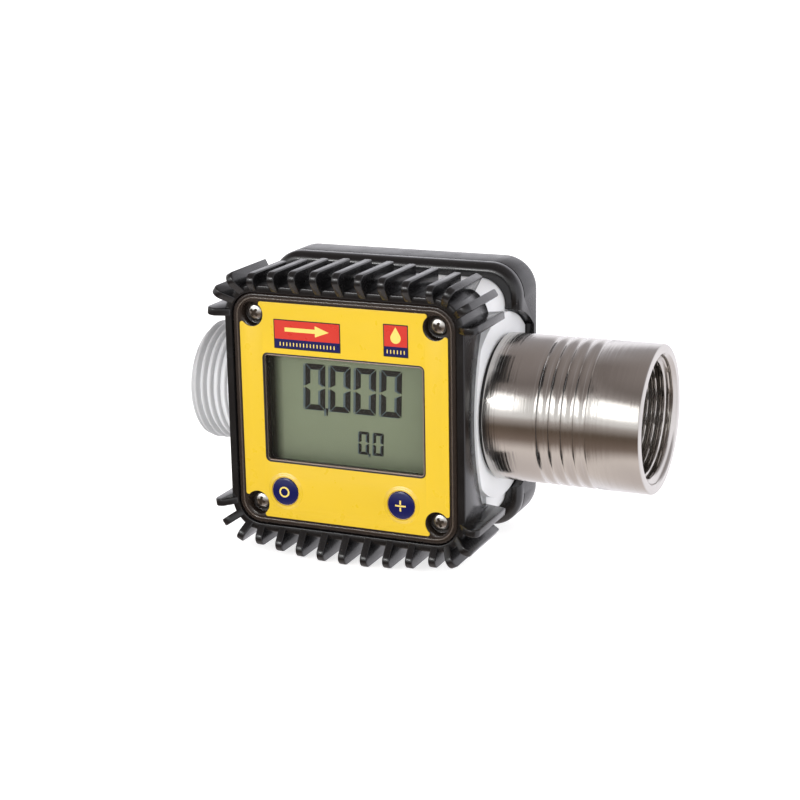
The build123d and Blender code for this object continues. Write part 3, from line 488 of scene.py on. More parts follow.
FINISHES = {
    "body_white": MouldedPlastic("moulded_white", (0.70, 0.71, 0.725), (0.76, 0.77, 0.785), 0.40, subsurface=0.1),
    # painted shade: the moulded white, made darker on the inlet thread to stand in for the shade between its turns
    "thread_white": MouldedPlastic("thread_white", (0.50, 0.505, 0.515), (0.57, 0.575, 0.585), 0.34),
    "guard_rubber": GuardRubber("guard_rubber", 0.2),
    "seal_rubber": GuardRubber("seal_rubber", 0.55),
    "label_print": PrintedFilm("label_yellow", (0.66, 0.440, 0.017), (0.69, 0.465, 0.021)),
    "badge_red": PrintedFilm("badge_red", (0.52, 0.028, 0.015), (0.56, 0.032, 0.018)),
    "badge_navy": PrintedFilm("badge_navy", (0.005, 0.006, 0.068), (0.006, 0.008, 0.084)),
    "badge_line": PrintedFilm("badge_line", (0.02, 0.018, 0.02), (0.03, 0.028, 0.03)),
    "badge_mark": PrintedFilm("badge_mark", (0.76, 0.57, 0.12), (0.80, 0.61, 0.15)),
    "key_lip": PrintedFilm("key_lip", (0.62, 0.42, 0.24), (0.70, 0.48, 0.28), 0.2),
    "key_collar": PrintedFilm("key_collar", (0.66, 0.440, 0.017), (0.69, 0.465, 0.021), 0.1, 0.9, 0.9),
    "clear_cover": ClearPlastic("clear_rim", (0.022, 0.016, 0.013), 0.92),
    "cover_ridge": ClearPlastic("cover_ridge", (0.075, 0.058, 0.046), 0.9, 0.05, 1.0),
    "clear_pane": ClearPlastic("clear_pane", (0.20, 0.20, 0.18), 0.02, gloss=0.35),
    "screw_steel": Metal("screw_steel", (0.60, 0.585, 0.56), Marks.PLATED, 0.2),
    # painted shade: dark plates set low in the screws' cross recesses stand in for the shadow inside them
    "recess_shade": MouldedPlastic("recess_shade", (0.020, 0.013, 0.008), (0.045, 0.028, 0.015), 0.4, gloss=0.3),
    "frame_black": MouldedPlastic("frame_black", (0.008, 0.005, 0.004), (0.016, 0.011, 0.008), 0.3, gloss=0.25),
    "reflector_film": MouldedPlastic("reflector_film", (0.5, 0.52, 0.5), (0.6, 0.62, 0.6), 0.3),
    "strip_rubber": MouldedPlastic("strip_rubber", (0.28, 0.09, 0.07), (0.36, 0.12, 0.1), 0.6),
    "board_green": CircuitLacquer("board_green"),
    "cell_jacket": Metal("cell_jacket", (0.24, 0.25, 0.27), Marks.PLATED, 0.35),
    "tray_grey": MouldedPlastic("tray_grey", (0.33, 0.34, 0.35), (0.39, 0.4, 0.41), 0.5),
    "contact_metal": Metal("contact_metal", (0.70, 0.62, 0.44), Marks.GROUND, 0.28),
    "turbine_white": MouldedPlastic("turbine_white", (0.72, 0.72, 0.69), (0.78, 0.78, 0.75), 0.4),
    "bush_brass": Metal("bush_brass", (0.62, 0.46, 0.2), Marks.TURNED, 0.3),
    "shaft_steel": Metal("shaft_steel", (0.56, 0.56, 0.57), Marks.GROUND, 0.2),
    "magnet_metal": Metal("magnet_metal", (0.52, 0.52, 0.54), Marks.PLATED, 0.2),
    "sleeve_steel": Metal("sleeve_steel", (0.60, 0.575, 0.545), Marks.TURNED, 0.15),
    "key_blue": PrintedFilm("key_blue", (0.004, 0.006, 0.062), (0.006, 0.008, 0.078), 0.14),
    "digit_ink": MouldedPlastic("digit_ink", (0.010, 0.009, 0.008), (0.020, 0.017, 0.014), 0.5, gloss=0.1),
    "digit_shadow": MouldedPlastic("digit_shadow", (0.060, 0.080, 0.088), (0.080, 0.105, 0.115), 0.5, gloss=0.1),
}


class Palette:
    """Builds each finish once, when it is first asked for."""

    def __init__(self) -> None:
        """Starts empty."""
        self._made: dict[str, bpy.types.Material] = {}

    def __getitem__(self, name: str) -> bpy.types.Material:
        """The material of a finish.

        Args:
            name: the finish's name.

        Returns:
            The material, the same one each time.
        """
        if name not in self._made:
            self._made[name] = FINISHES[name].build()
        return self._made[name]


PALETTE = Palette()


# Mesh building


def middle_x() -> float:
    """The middle of the meter's body along the flow axis."""
    low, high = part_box("meter_body")
    return (low.x + high.x) / 2


def link_object(name: str, data: bpy.types.ID) -> bpy.types.Object:
    """A new object in the scene for a mesh, a lamp or a camera.

    Args:
        name: the object's name.
        data: what it holds.

    Returns:
        The new object.
    """
    made = bpy.data.objects.new(name, data)
    bpy.context.scene.collection.objects.link(made)
    return made


def ring_faces(rows: int, across: int) -> list[tuple[int, int, int, int]]:
    """The faces of a grid of points that closes on itself both ways."""
    return [(a * across + i, a * across + (i + 1) % across, (a + 1) % rows * across + (i + 1) % across,
             (a + 1) % rows * across + i) for a in range(rows) for i in range(across)]


def prism_faces(count: int) -> list[tuple[int, ...]]:
    """The faces of a prism: two outlines of so many points and the sides between them."""
    sides = [(i, (i + 1) % count, count + (i + 1) % count, count + i) for i in range(count)]
    return [tuple(range(count)), tuple(reversed(range(count, 2 * count)))] + sides


def mesh_object(name: str, points: Sequence[Sequence[float]], faces: Sequence[Sequence[int]]) -> bpy.types.Object:
    """An object at the origin from its points and faces, with its normals turned outwards.

    Args:
        name: the object's name.
        points: its vertices; those that fall together are merged.
        faces: for each face the numbers of its vertices.

    Returns:
        The new object.
    """
    mesh = bpy.data.meshes.new(name)
    mesh.from_pydata([tuple(p) for p in points], [], [tuple(f) for f in faces])
    form = bmesh.new()
    form.from_mesh(mesh)
    bmesh.ops.remove_doubles(form, verts=form.verts, dist=1e-7)
    bmesh.ops.recalc_face_normals(form, faces=form.faces)
    form.to_mesh(mesh)
    form.free()
    return link_object(name, mesh)


def bake(obj: bpy.types.Object) -> bpy.types.Object:
    """Turns an object's modifiers into plain mesh.

    Args:
        obj: the object.

    Returns:
        The same object.
    """
    bpy.context.view_layer.update()
    result = bpy.data.meshes.new_from_object(obj.evaluated_get(bpy.context.evaluated_depsgraph_get()))
    obj.modifiers.clear()
    obj.data = result
    return obj


def cut_away(obj: bpy.types.Object, cutter: bpy.types.Object) -> bpy.types.Object:
    """Cuts a cutter out of an object and removes the cutter.

    Args:
        obj: the object.
        cutter: the closed shape that is cut out of it.

    Returns:
        The same object.
    """
    cut = obj.modifiers.new("cut", "BOOLEAN")
    cut.operation = "DIFFERENCE"
    cut.object = cutter
    bake(obj)
    bpy.data.objects.remove(cutter)
    return obj


def soften(obj: bpy.types.Object, width: float, segments: int = 2, angle: float = CREASE) -> bpy.types.Object:
    """Rounds an object's edges and bakes the result.

    Args:
        obj: the object.
        width: width of the rounding, in metres.
        segments: faces across the rounding.
        angle: edges sharper than this many degrees are rounded.

    Returns:
        The same object.
    """
    bevel = obj.modifiers.new("soften", "BEVEL")
    bevel.width = width
    bevel.segments = segments
    bevel.limit_method = "ANGLE"
    bevel.angle_limit = math.radians(angle)
    return bake(obj)


def shade(obj: bpy.types.Object, angle: float = CREASE) -> bpy.types.Object:
    """Smooth shading, apart from edges sharper than an angle in degrees.

    Args:
        obj: the object.
        angle: the angle.

    Returns:
        The same object.
    """
    obj.data.shade_smooth()
    obj.data.set_sharp_from_angle(angle=math.radians(angle))
    return obj


def smooth_copy(node: str, name: str, width: float = 0.0, segments: int = 2,
                angle: float = CREASE) -> bpy.types.Object:
    """A copy of a CAD node with merged faces and softened edges.

    Args:
        node: the node's name.
        name: the piece's name.
        width: width of the edges' rounding in metres, or 0 for none.
        segments: faces across the rounding.
        angle: edges sharper than this many degrees are rounded.

    Returns:
        The new object.
    """
    mesh = frame["nodes"][node].data.copy()
    mesh.name = name
    mesh.materials.clear()
    for layer in ("custom_normal", "sharp_face", "sharp_edge"):
        if layer in mesh.attributes:
            mesh.attributes.remove(mesh.attributes[layer])
    form = bmesh.new()
    form.from_mesh(mesh)
    bmesh.ops.remove_doubles(form, verts=form.verts, dist=2e-6)
    bmesh.ops.dissolve_limit(form, angle_limit=math.radians(0.5), verts=form.verts, edges=form.edges)
    form.to_mesh(mesh)
    form.free()
    made = link_object(name, mesh)
    if width:
        soften(made, width, segments, angle)
    return shade(made, angle)


def join(name: str, parts: Sequence[bpy.types.Object]) -> bpy.types.Object:
    """One object made of several, which are removed; their materials stay apart.

    Args:
        name: the new object's name.
        parts: the objects.

    Returns:
        The new object.
    """
    form = bmesh.new()
    materials: list[bpy.types.Material] = []
    for part in parts:
        start = len(form.faces)
        form.from_mesh(part.data)
        form.faces.ensure_lookup_table()
        slots = [m for m in part.data.materials if m]
        for material in slots:
            if material not in materials:
                materials.append(material)
        for face in form.faces[start:]:
            if slots:
                face.material_index = materials.index(slots[min(face.material_index, len(slots) - 1)])
    mesh = bpy.data.meshes.new(name)
    form.to_mesh(mesh)
    form.free()
    for material in materials:
        mesh.materials.append(material)
    for part in parts:
        bpy.data.objects.remove(part)
    return link_object(name, mesh)


def turned(name: str, profile: Sequence[tuple[float, float, float]], phase: float = 0.0,
           steps: int = 144) -> bpy.types.Object:
    """A closed ring turned about the flow axis, with a helical thread where its profile asks for one.

    Args:
        name: the piece's name.
        profile: points (x, radius, depth) round the section; depth is how far the thread cuts outwards there.
        phase: where the thread starts, in turns.
        steps: faces round the axis.

    Returns:
        The new object.
    """
    points = []
    for x, radius, depth in profile:
        for i in range(steps):
            turn = i / steps
            reach = radius + depth * tooth(x / PIPE_PITCH - turn - phase) if depth else radius
            points.append((x, reach * math.cos(math.tau * turn), reach * math.sin(math.tau * turn)))
    return mesh_object(name, points, ring_faces(len(profile), steps))


def tooth(turns: float) -> float:
    """Height of a pipe thread's flank, 0 in its valley and 1 at its crest, once per turn.

    Args:
        turns: place along the thread, in turns.

    Returns:
        The height.
    """
    rise = 1 - abs(2 * (turns % 1.0) - 1)
    rise = min(1.0, max(0.0, (rise - TOOTH_FLAT) / TOOTH_FLANK))
    return rise * rise * (3 - 2 * rise) * TOOTH_ROUND + rise * (1 - TOOTH_ROUND)


def even(start: float, end: float, step: float) -> list[float]:
    """Evenly spaced values from start to end, about a step apart."""
    count = max(1, round(abs(end - start) / step))
    return [start + (end - start) * i / count for i in range(count + 1)]


def plate(name: str, outline: Sequence[tuple[float, float]], front: float, back: float) -> bpy.types.Object:
    """A flat outline of (x, z) corners, standing between two depths."""
    points = [(x, y, z) for y in (front, back) for x, z in outline]
    return mesh_object(name, points, prism_faces(len(outline)))


@dataclass(frozen=True)
class Frame:
    """A rectangle (x, z) with round corners, which sections are swept round."""

    left: float
    right: float
    bottom: float
    top: float
    corner: float

    def grown(self, by: float) -> "Frame":
        """The same frame, wider by a margin on every side."""
        return Frame(self.left - by, self.right + by, self.bottom - by, self.top + by, self.corner + by)

    def corners(self) -> list[tuple[float, float, float]]:
        """Each corner's centre and the angle it starts at, counter-clockwise from the lower right."""
        c = self.corner
        return [(self.right - c, self.bottom + c, -90), (self.right - c, self.top - c, 0),
                (self.left + c, self.top - c, 90), (self.left + c, self.bottom + c, 180)]

    def outline(self, steps: int = 6) -> list[tuple[float, float]]:
        """Its outline as points (x, z), with so many parts to each corner."""
        return [(x + self.corner * math.cos(a), z + self.corner * math.sin(a)) for x, z, start in self.corners()
                for a in (math.radians(start + 90 * i / steps) for i in range(steps + 1))]

    def stations(self, steps: int, pitch: float) -> list[tuple[float, float, float, float]]:
        """Places round the frame.

        Args:
            steps: parts of each corner.
            pitch: distance between places on the straight sides.

        Returns:
            For each place the centre that it is swung from and its outward direction: x, z, out x, out z.
        """
        centres = self.corners()
        places = []
        for index, (x, z, start) in enumerate(centres):
            for i in range(steps + 1):
                angle = math.radians(start + 90 * i / steps)
                places.append((x, z, math.cos(angle), math.sin(angle)))
            next_x, next_z, _ = centres[(index + 1) % 4]
            out = math.radians(start + 90)
            count = max(1, round(math.hypot(next_x - x, next_z - z) / pitch))
            places += [(x + (next_x - x) * i / count, z + (next_z - z) * i / count, math.cos(out), math.sin(out))
                       for i in range(1, count)]
        return places


Section = Callable[[float, float], list[tuple[float, float]]]


def swept(name: str, path: Frame, section: Section, steps: int = 12, pitch: float = 0.05) -> bpy.types.Object:
    """A closed ring: a section swept round a frame.

    Args:
        name: the piece's name.
        path: the frame.
        section: gives the closed section at a place (out x, z) as points (distance outside the frame, y).
        steps: parts of each corner.
        pitch: distance between places on the straight sides.

    Returns:
        The new object.
    """
    points = []
    places = path.stations(steps, pitch)
    for x, z, out_x, out_z in places:
        for out, y in section(out_x, z + out_z * path.corner):
            reach = path.corner + out
            points.append((x + out_x * reach, y, z + out_z * reach))
    return mesh_object(name, points, ring_faces(len(places), len(points) // len(places)))


def bead(low: float, high: float, face: float, proud: float, sunk: float, steps: int = 6) -> Section:
    """A section for a thin line with a rounded face, between two distances outside its frame.

    Args:
        low: inner edge.
        high: outer edge.
        face: depth of the surface that it lies on.
        proud: how far its middle stands in front of that surface.
        sunk: how far its foot lies behind it.
        steps: parts of the rounding.

    Returns:
        The section.
    """
    middle, half = (low + high) / 2, (high - low) / 2
    arc = [(middle - half * math.cos(math.pi * i / steps), face - proud * math.sin(math.pi * i / steps))
           for i in range(steps + 1)]
    return lambda out_x, z: arc + [(high, face + sunk), (low, face + sunk)]


# Repeating with Geometry Nodes


@dataclass(frozen=True)
class Placing:
    """Where one copy of a repeated piece goes: its place, its turn about Y and its extra length."""

    place: Point
    turn: float = 0.0
    stretch: float = 0.0


def copies_tree() -> bpy.types.NodeTree:
    """A tree that sets a copy of a piece at each marked point.

    Each point carries a place, a turn about Y and a stretch. A copy's vertices are moved along their
    attribute tip times the stretch, then the copy is turned and moved.

    Returns:
        The node group.
    """
    tree = bpy.data.node_groups.new("copies_at_marks", "GeometryNodeTree")
    face = tree.interface
    for name, kind in (("Geometry", "Geometry"), ("Piece", "Object"), ("Finish", "Material"), ("Size", "Float")):
        socket = face.new_socket(name=name, in_out="INPUT", socket_type="NodeSocket" + kind)
    socket.default_value = 1.0
    face.new_socket(name="Geometry", in_out="OUTPUT", socket_type="NodeSocketGeometry")

    def node(kind: str, inputs: dict[str | int, object] | None = None, **settings: object) -> bpy.types.Node:
        """Adds a node to the tree."""
        return add_node(tree, kind, inputs, **settings)

    def read(name: str, kind: str) -> bpy.types.NodeSocket:
        """The value of a named attribute."""
        return node("GeometryNodeInputNamedAttribute", {"Name": name}, data_type=kind).outputs["Attribute"]

    given = node("NodeGroupInput").outputs
    piece = node("GeometryNodeObjectInfo", {"Object": given["Piece"]}).outputs["Geometry"]
    copies = node("GeometryNodeInstanceOnPoints",
                  {"Points": given["Geometry"], "Instance": piece, "Scale": given["Size"]})
    real = node("GeometryNodeRealizeInstances", {"Geometry": copies.outputs["Instances"]})
    lift = node("ShaderNodeVectorMath", {0: read("tip", "FLOAT_VECTOR"), "Scale": read("stretch", "FLOAT")},
                operation="SCALE")
    longer = node("ShaderNodeVectorMath", {0: node("GeometryNodeInputPosition").outputs[0], 1: lift.outputs[0]})
    turn = node("ShaderNodeVectorRotate", {"Vector": longer.outputs[0], "Angle": read("turn", "FLOAT")},
                rotation_type="Y_AXIS")
    moved = node("ShaderNodeVectorMath", {0: turn.outputs[0], 1: read("place", "FLOAT_VECTOR")})
    put = node("GeometryNodeSetPosition", {"Geometry": real.outputs[0], "Position": moved.outputs[0]})
    finish = node("GeometryNodeSetMaterial", {"Geometry": put.outputs[0], "Material": given["Finish"]})
    node("NodeGroupOutput", {0: finish.outputs[0]})
    return tree


class Copier:
    """Repeats a piece with the shared tree and bakes the result to plain mesh."""

    def __init__(self) -> None:
        """Builds the tree once."""
        self.tree = copies_tree()

    def copies(self, name: str, piece: bpy.types.Object, placings: Sequence[Placing],
               finish: bpy.types.Material, size: float = 1.0) -> bpy.types.Object:
        """Sets a copy of a piece at each placing.

        Args:
            name: the new object's name.
            piece: the pattern, which is removed; its vector attribute tip says how the stretch moves it.
            placings: where the copies go.
            finish: the copies' material.
            size: scale of the copies.

        Returns:
            One object with all the copies.
        """
        mesh = bpy.data.meshes.new(name)
        mesh.from_pydata([(0, 0, 0)] * len(placings), [], [])
        for label, kind in (("turn", "FLOAT"), ("stretch", "FLOAT")):
            layer = mesh.attributes.new(label, kind, "POINT")
            layer.data.foreach_set("value", [getattr(p, label) for p in placings])
        layer = mesh.attributes.new("place", "FLOAT_VECTOR", "POINT")
        layer.data.foreach_set("vector", [c for p in placings for c in p.place])
        made = link_object(name, mesh)
        modifier = made.modifiers.new("copies", "NODES")
        modifier.node_group = self.tree
        given = {"Piece": piece, "Finish": finish, "Size": size}
        for item in self.tree.interface.items_tree:
            if item.item_type == "SOCKET" and item.in_out == "INPUT" and item.name in given:
                modifier[item.identifier] = given[item.name]
        bake(made)
        for label in ("turn", "stretch", "place", "tip"):
            if label in made.data.attributes:
                made.data.attributes.remove(made.data.attributes[label])
        bpy.data.objects.remove(piece)
        return made


def mark_tip(obj: bpy.types.Object, above: float, lean: float, ahead: float) -> None:
    """Marks what a stretch lengthens.

    Args:
        obj: the pattern.
        above: vertices higher than this move up with the stretch.
        lean: how far the front ones also move forward, as a share of the stretch.
        ahead: vertices with a lower y than this are front ones.
    """
    layer = obj.data.attributes.new("tip", "FLOAT_VECTOR", "POINT")
    for item, vertex in zip(layer.data, obj.data.vertices):
        if vertex.co.z > above:
            item.vector = (0.0, -lean if vertex.co.y < ahead else 0.0, 1.0)


def dress(obj: bpy.types.Object, slot: str, finish: str | None = None, stands_for: Sequence[str] = (),
          body: Body = Body.METER) -> bpy.types.Object:
    """Gives a piece its material, hangs it on its body and hides the CAD nodes that it stands for.

    Args:
        obj: the piece.
        slot: the record's material slot.
        finish: the finish, if it isn't the slot's own.
        stands_for: the CAD nodes that it is shown instead of.
        body: the body that it rides on.

    Returns:
        The same piece.
    """
    if not [m for m in obj.data.materials if m] or finish:
        obj.data.materials.clear()
        obj.data.materials.append(PALETTE[finish or slot])
    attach(obj, body.value)
    if stands_for:
        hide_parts(*stands_for)
    log.info("%s: %d faces on %s", obj.name, len(obj.data.polygons), body.value)
    return obj


def redress(node: str, name: str, slot: str, *edges: float, body: Body = Body.METER) -> bpy.types.Object:
    """A smooth copy of a CAD node, with its edges as smooth_copy takes them, dressed and shown instead of it."""
    return dress(smooth_copy(node, name, *edges), slot, stands_for=[node], body=body)


COPIER = Copier()


@dataclass
class Housing:
    """The white moulded body with its inlet thread, and the rear lid."""

    edge: float = 0.35 * MM
    lid_edge: float = 0.4 * MM
    run_out: float = 3.2 * MM
    thread_step: float = 0.19 * MM
    mouth: float = 1.0 * MM
    crest_at: float = 1.1 * MM
    thread_wall: float = 0.5 * MM
    thread_start: float = 0.02 * MM
    first_height: float = 0.15
    lead_in: float = 0.6 * MM
    root_gap: float = 0.1 * MM
    face_gap: float = 0.2 * MM

    def build(self) -> None:
        """Makes and dresses the housing's pieces."""
        self.boss_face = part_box("outlet_seal")[0].x
        self.middle = middle_x()
        dress(self.moulding(), "body_white", stands_for=["meter_body"])
        # the thread gets a darker copy of the moulded white: painted shade between its turns
        dress(self.inlet_thread(), "body_white", "thread_white")
        redress("rear_cover", "rear_lid", "body_white", self.lid_edge)

    def moulding(self) -> bpy.types.Object:
        """The moulded body, with its inlet's outside cut down to the thread's root.

        Returns:
            The body.
        """
        body = smooth_copy("meter_body", "housing", 0.0)
        face = 2 * self.middle - self.boss_face
        root = THREAD_CREST - THREAD_DEPTH - self.root_gap
        for vertex in body.data.vertices:
            radius = math.hypot(vertex.co.y, vertex.co.z)
            if vertex.co.x < face - self.face_gap and radius > root:
                vertex.co.y *= root / radius
                vertex.co.z *= root / radius
        return shade(soften(body, self.edge, 3))

    def inlet_thread(self) -> bpy.types.Object:
        """The male thread of the inlet, from its mouth to the port boss.

        Returns:
            The thread.
        """
        face = 2 * self.middle - self.boss_face
        root = THREAD_CREST - THREAD_DEPTH
        inner = root - self.thread_wall
        profile = [(self.thread_start, inner, 0.0)]
        for x in even(self.thread_start, face, self.thread_step):
            lead = min(1.0, self.first_height + x / self.mouth)
            tail = min(1.0, max(0.0, (face - x) / self.run_out))
            profile.append((x, root - (1 - lead) * self.lead_in, THREAD_DEPTH * lead * tail))
        profile.append((face, inner, 0.0))
        return shade(turned("inlet_thread", profile, self.crest_at / PIPE_PITCH - 0.5), FINE_CREASE)


@dataclass
class OutletSleeve:
    """The turned steel sleeve: grooved outside, threaded inside."""

    groove_first: float = 14.3 * MM
    groove_pitch: float = 3.25 * MM
    groove_count: int = 5
    groove_width: float = 0.88 * MM
    groove_depth: float = 0.32 * MM
    groove_round: float = 0.8
    edge: float = 0.55 * MM
    back_edge: float = 0.5 * MM
    chamfer: float = 0.25 * MM
    thread_step: float = 0.165 * MM
    thread_fade: float = 0.8
    neck_edge: float = 0.3 * MM
    steps: int = 192
    sink: float = 2.2 * MM
    thread_length: float = 16.1 * MM
    neck_length: float = 5.0 * MM
    neck_radius: float = 13.6 * MM
    seat_radius: float = 16.67 * MM
    relief: float = 2.0 * MM

    def build(self) -> None:
        """Makes and dresses the sleeve."""
        low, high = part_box("outlet_sleeve")
        self.start, self.end = low.x, high.x
        self.radius = high.z
        sleeve = shade(turned("sleeve", self.profile(), 0.0, self.steps), ROUND_CREASE)
        dress(sleeve, "sleeve_steel", stands_for=["outlet_sleeve"])

    def outside(self) -> list[tuple[float, float, float]]:
        """The outside from the port's end to the mouth, with its round-bottomed grooves.

        Returns:
            Points (x, radius, 0).
        """
        points = [(self.start, self.radius - self.back_edge, 0.0)]
        points += rounded((self.start, self.radius), self.back_edge, True)
        for i in range(self.groove_count):
            middle = self.start + self.groove_first + i * self.groove_pitch
            for x in even(-self.groove_width, self.groove_width, self.groove_width / 4):
                dip = self.groove_depth * math.cos(math.pi / 2 * x / self.groove_width) ** self.groove_round
                points.append((middle + x, self.radius - dip, 0.0))
        points += rounded((self.end, self.radius), self.edge, False)
        return points

    def profile(self) -> list[tuple[float, float, float]]:
        """The whole section: outside, mouth, thread, neck and the seat of the body's outlet.

        Returns:
            Points (x, radius, depth of the thread).
        """
        bore = THREAD_CREST - THREAD_DEPTH
        sink_end = self.end - self.sink
        thread_end = sink_end - self.thread_length
        points = self.outside()
        points += [(self.end, bore + self.sink, 0.0)]
        for x in even(self.end - self.chamfer, thread_end, self.thread_step):
            out = max(0.0, x - sink_end)
            fade = min(1.0, max(0.0, (x - thread_end) / self.relief))
            points.append((x, bore + out, max(0.0, THREAD_DEPTH - out * self.thread_fade) * fade))
        neck = thread_end - self.neck_length
        points += [(thread_end, self.neck_radius + self.neck_edge, 0.0),
                   (thread_end - self.neck_edge, self.neck_radius, 0.0), (neck, self.neck_radius, 0.0),
                   (neck, self.seat_radius, 0.0), (self.start, self.seat_radius, 0.0)]
        return points


def rounded(corner: tuple[float, float], size: float, rising: bool) -> list[tuple[float, float, float]]:
    """A round edge of a turned piece at its corner (x, radius), met from the left or left to the right.

    Args:
        corner: the corner before it is rounded.
        size: radius of the rounding.
        rising: true where the edge is met from the left.

    Returns:
        Points (x, radius, 0).
    """
    x, radius = corner
    points = []
    for i in range(5):
        angle = math.radians(90 * i / 4)
        if rising:
            points.append((x + size * (1 - math.cos(angle)), radius - size * (1 - math.sin(angle)), 0.0))
        else:
            points.append((x - size * (1 - math.sin(angle)), radius - size * (1 - math.cos(angle)), 0.0))
    return points


@dataclass
class FrontGuard:
    """The rubber guard round the display: a wall with scalloped sides, and its fins."""

    corner: float = 8.75 * MM
    wall: float = 2.1 * MM
    half: float = 34.15 * MM
    edge: float = 0.55 * MM
    back_edge: float = 0.3 * MM
    edge_curve: tuple[tuple[float, float], ...] = ((1.0, 0.0), (0.55, 0.11), (0.16, 0.4), (0.0, 1.0))
    inner_edge: float = 0.25 * MM
    inner_soft: float = 0.07 * MM
    wall_steps: int = 14
    wall_pitch: float = 0.55 * MM
    scallop_rim: float = 7.0 * MM
    scallop_radius: float = 52.0 * MM
    scallop_half: float = 25.0 * MM
    fin_count: int = 9
    fin_thick: float = 2.1 * MM
    fin_reach: float = 5.0 * MM
    fin_reach_below: float = 5.7 * MM
    fin_end_drop: float = 1.9 * MM
    fin_lean: float = 38.0
    fin_root: float = 1.85 * MM
    fin_round: float = 2.1 * MM
    fin_edge: float = 0.36 * MM
    fin_steps: int = 10
    corner_fins: int = 3
    corner_step: float = 28.0
    corner_reach: float = 4.4 * MM

    def build(self) -> None:
        """Makes and dresses the guard."""
        self.middle = middle_x()
        self.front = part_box("display_label")[0].y
        self.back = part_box("front_guard")[1].y
        wall = self.wall_ring()
        fins = COPIER.copies("guard_fins", self.fin(), self.fin_places(), PALETTE["guard_rubber"])
        wall.data.materials.append(PALETTE["guard_rubber"])
        guard = shade(join("front_guard_skin", [wall, fins]), ROUND_CREASE)
        dress(guard, "guard_rubber", stands_for=["front_guard"])

    def wall_ring(self) -> bpy.types.Object:
        """The wall, whose sides end in an arc where the ports are.

        Returns:
            The wall.
        """
        side = self.half
        path = Frame(self.middle - side, self.middle + side, -side, side, self.corner)
        return swept("guard_wall", path, self.section, self.wall_steps, self.wall_pitch)

    def section(self, out_x: float, z: float) -> list[tuple[float, float]]:
        """The wall's section at a place, with soft edges.

        Args:
            out_x: how far the wall's outward direction there points along X, -1 to 1.
            z: height of the place.

        Returns:
            Points (distance outside the frame, y).
        """
        back = self.back
        if abs(out_x) > 0.999 and abs(z) < self.scallop_half:
            back = self.front + self.scallop_rim + self.scallop_radius - math.sqrt(self.scallop_radius ** 2 - z ** 2)
        inner, e, b = -self.wall, self.edge, self.back_edge
        corner = [(-out * e, self.front + depth * e) for out, depth in self.edge_curve]
        return [(inner, self.front + self.inner_edge), (inner + self.inner_soft, self.front + self.inner_soft),
                (inner + self.inner_edge, self.front), *corner, (0.0, back - b),
                (-0.3 * b, back - 0.3 * b), (-b, back), (inner + b, back), (inner, back - b)]

    def fin(self) -> bpy.types.Object:
        """The middle upper fin as a pattern, standing up from the wall's outer face at z = 0.

        Returns:
            The pattern, marked for its stretch.
        """
        lean = math.tan(math.radians(self.fin_lean))
        tip_y = self.front - (self.fin_reach + self.fin_root) * lean
        round_angle = math.radians(90 - self.fin_lean) / 2
        run = self.fin_round / math.tan(round_angle)
        centre = (tip_y + run, self.fin_reach - self.fin_round)
        outline = [(self.back, -self.fin_root), (self.front, -self.fin_root)]
        start, end = 180 + self.fin_lean, 90
        for i in range(self.fin_steps + 1):
            angle = math.radians(start + (end - start) * i / self.fin_steps)
            outline.append((centre[0] + self.fin_round * math.cos(angle), centre[1] + self.fin_round * math.sin(angle)))
        outline.append((self.back, self.fin_reach))
        half = self.fin_thick / 2
        points = [(x, y, z) for x in (-half, half) for y, z in outline]
        fin = soften(mesh_object("fin_pattern", points, prism_faces(len(outline))), self.fin_edge, 3, 50)
        mark_tip(fin, 0.0, lean, self.front)
        return fin

    def fin_places(self) -> list[Placing]:
        """A crowned row above and below, and a fan round each corner.

        Returns:
            The fins' places.
        """
        straight = self.half - self.corner
        crown = (straight ** 2 + self.fin_end_drop ** 2) / (2 * self.fin_end_drop)
        places = []
        for i in range(self.fin_count):
            x = straight * (2 * i / (self.fin_count - 1) - 1)
            drop = crown - math.sqrt(crown ** 2 - x ** 2)
            longer = self.fin_reach_below - self.fin_reach
            places.append(Placing((self.middle + x, 0, self.half), 0.0, -drop))
            places.append(Placing((self.middle + x, 0, -self.half), math.pi, longer - drop))
        for side in (1, -1):
            for up in (1, -1):
                for i in range(1, self.corner_fins + 1):
                    angle = math.radians(i * self.corner_step)
                    angle = side * (angle if up > 0 else math.pi - angle)
                    x = self.middle + side * straight + self.corner * math.sin(angle)
                    z = up * straight + self.corner * math.cos(angle)
                    places.append(Placing((x, 0, z), angle, self.corner_reach - self.fin_reach))
        return places


@dataclass
class RearGuard:
    """The smooth rubber guard behind."""

    edge: float = 0.45 * MM

    def build(self) -> None:
        """Makes and dresses the guard."""
        redress("rear_guard", "rear_guard_skin", "guard_rubber", self.edge, 3)


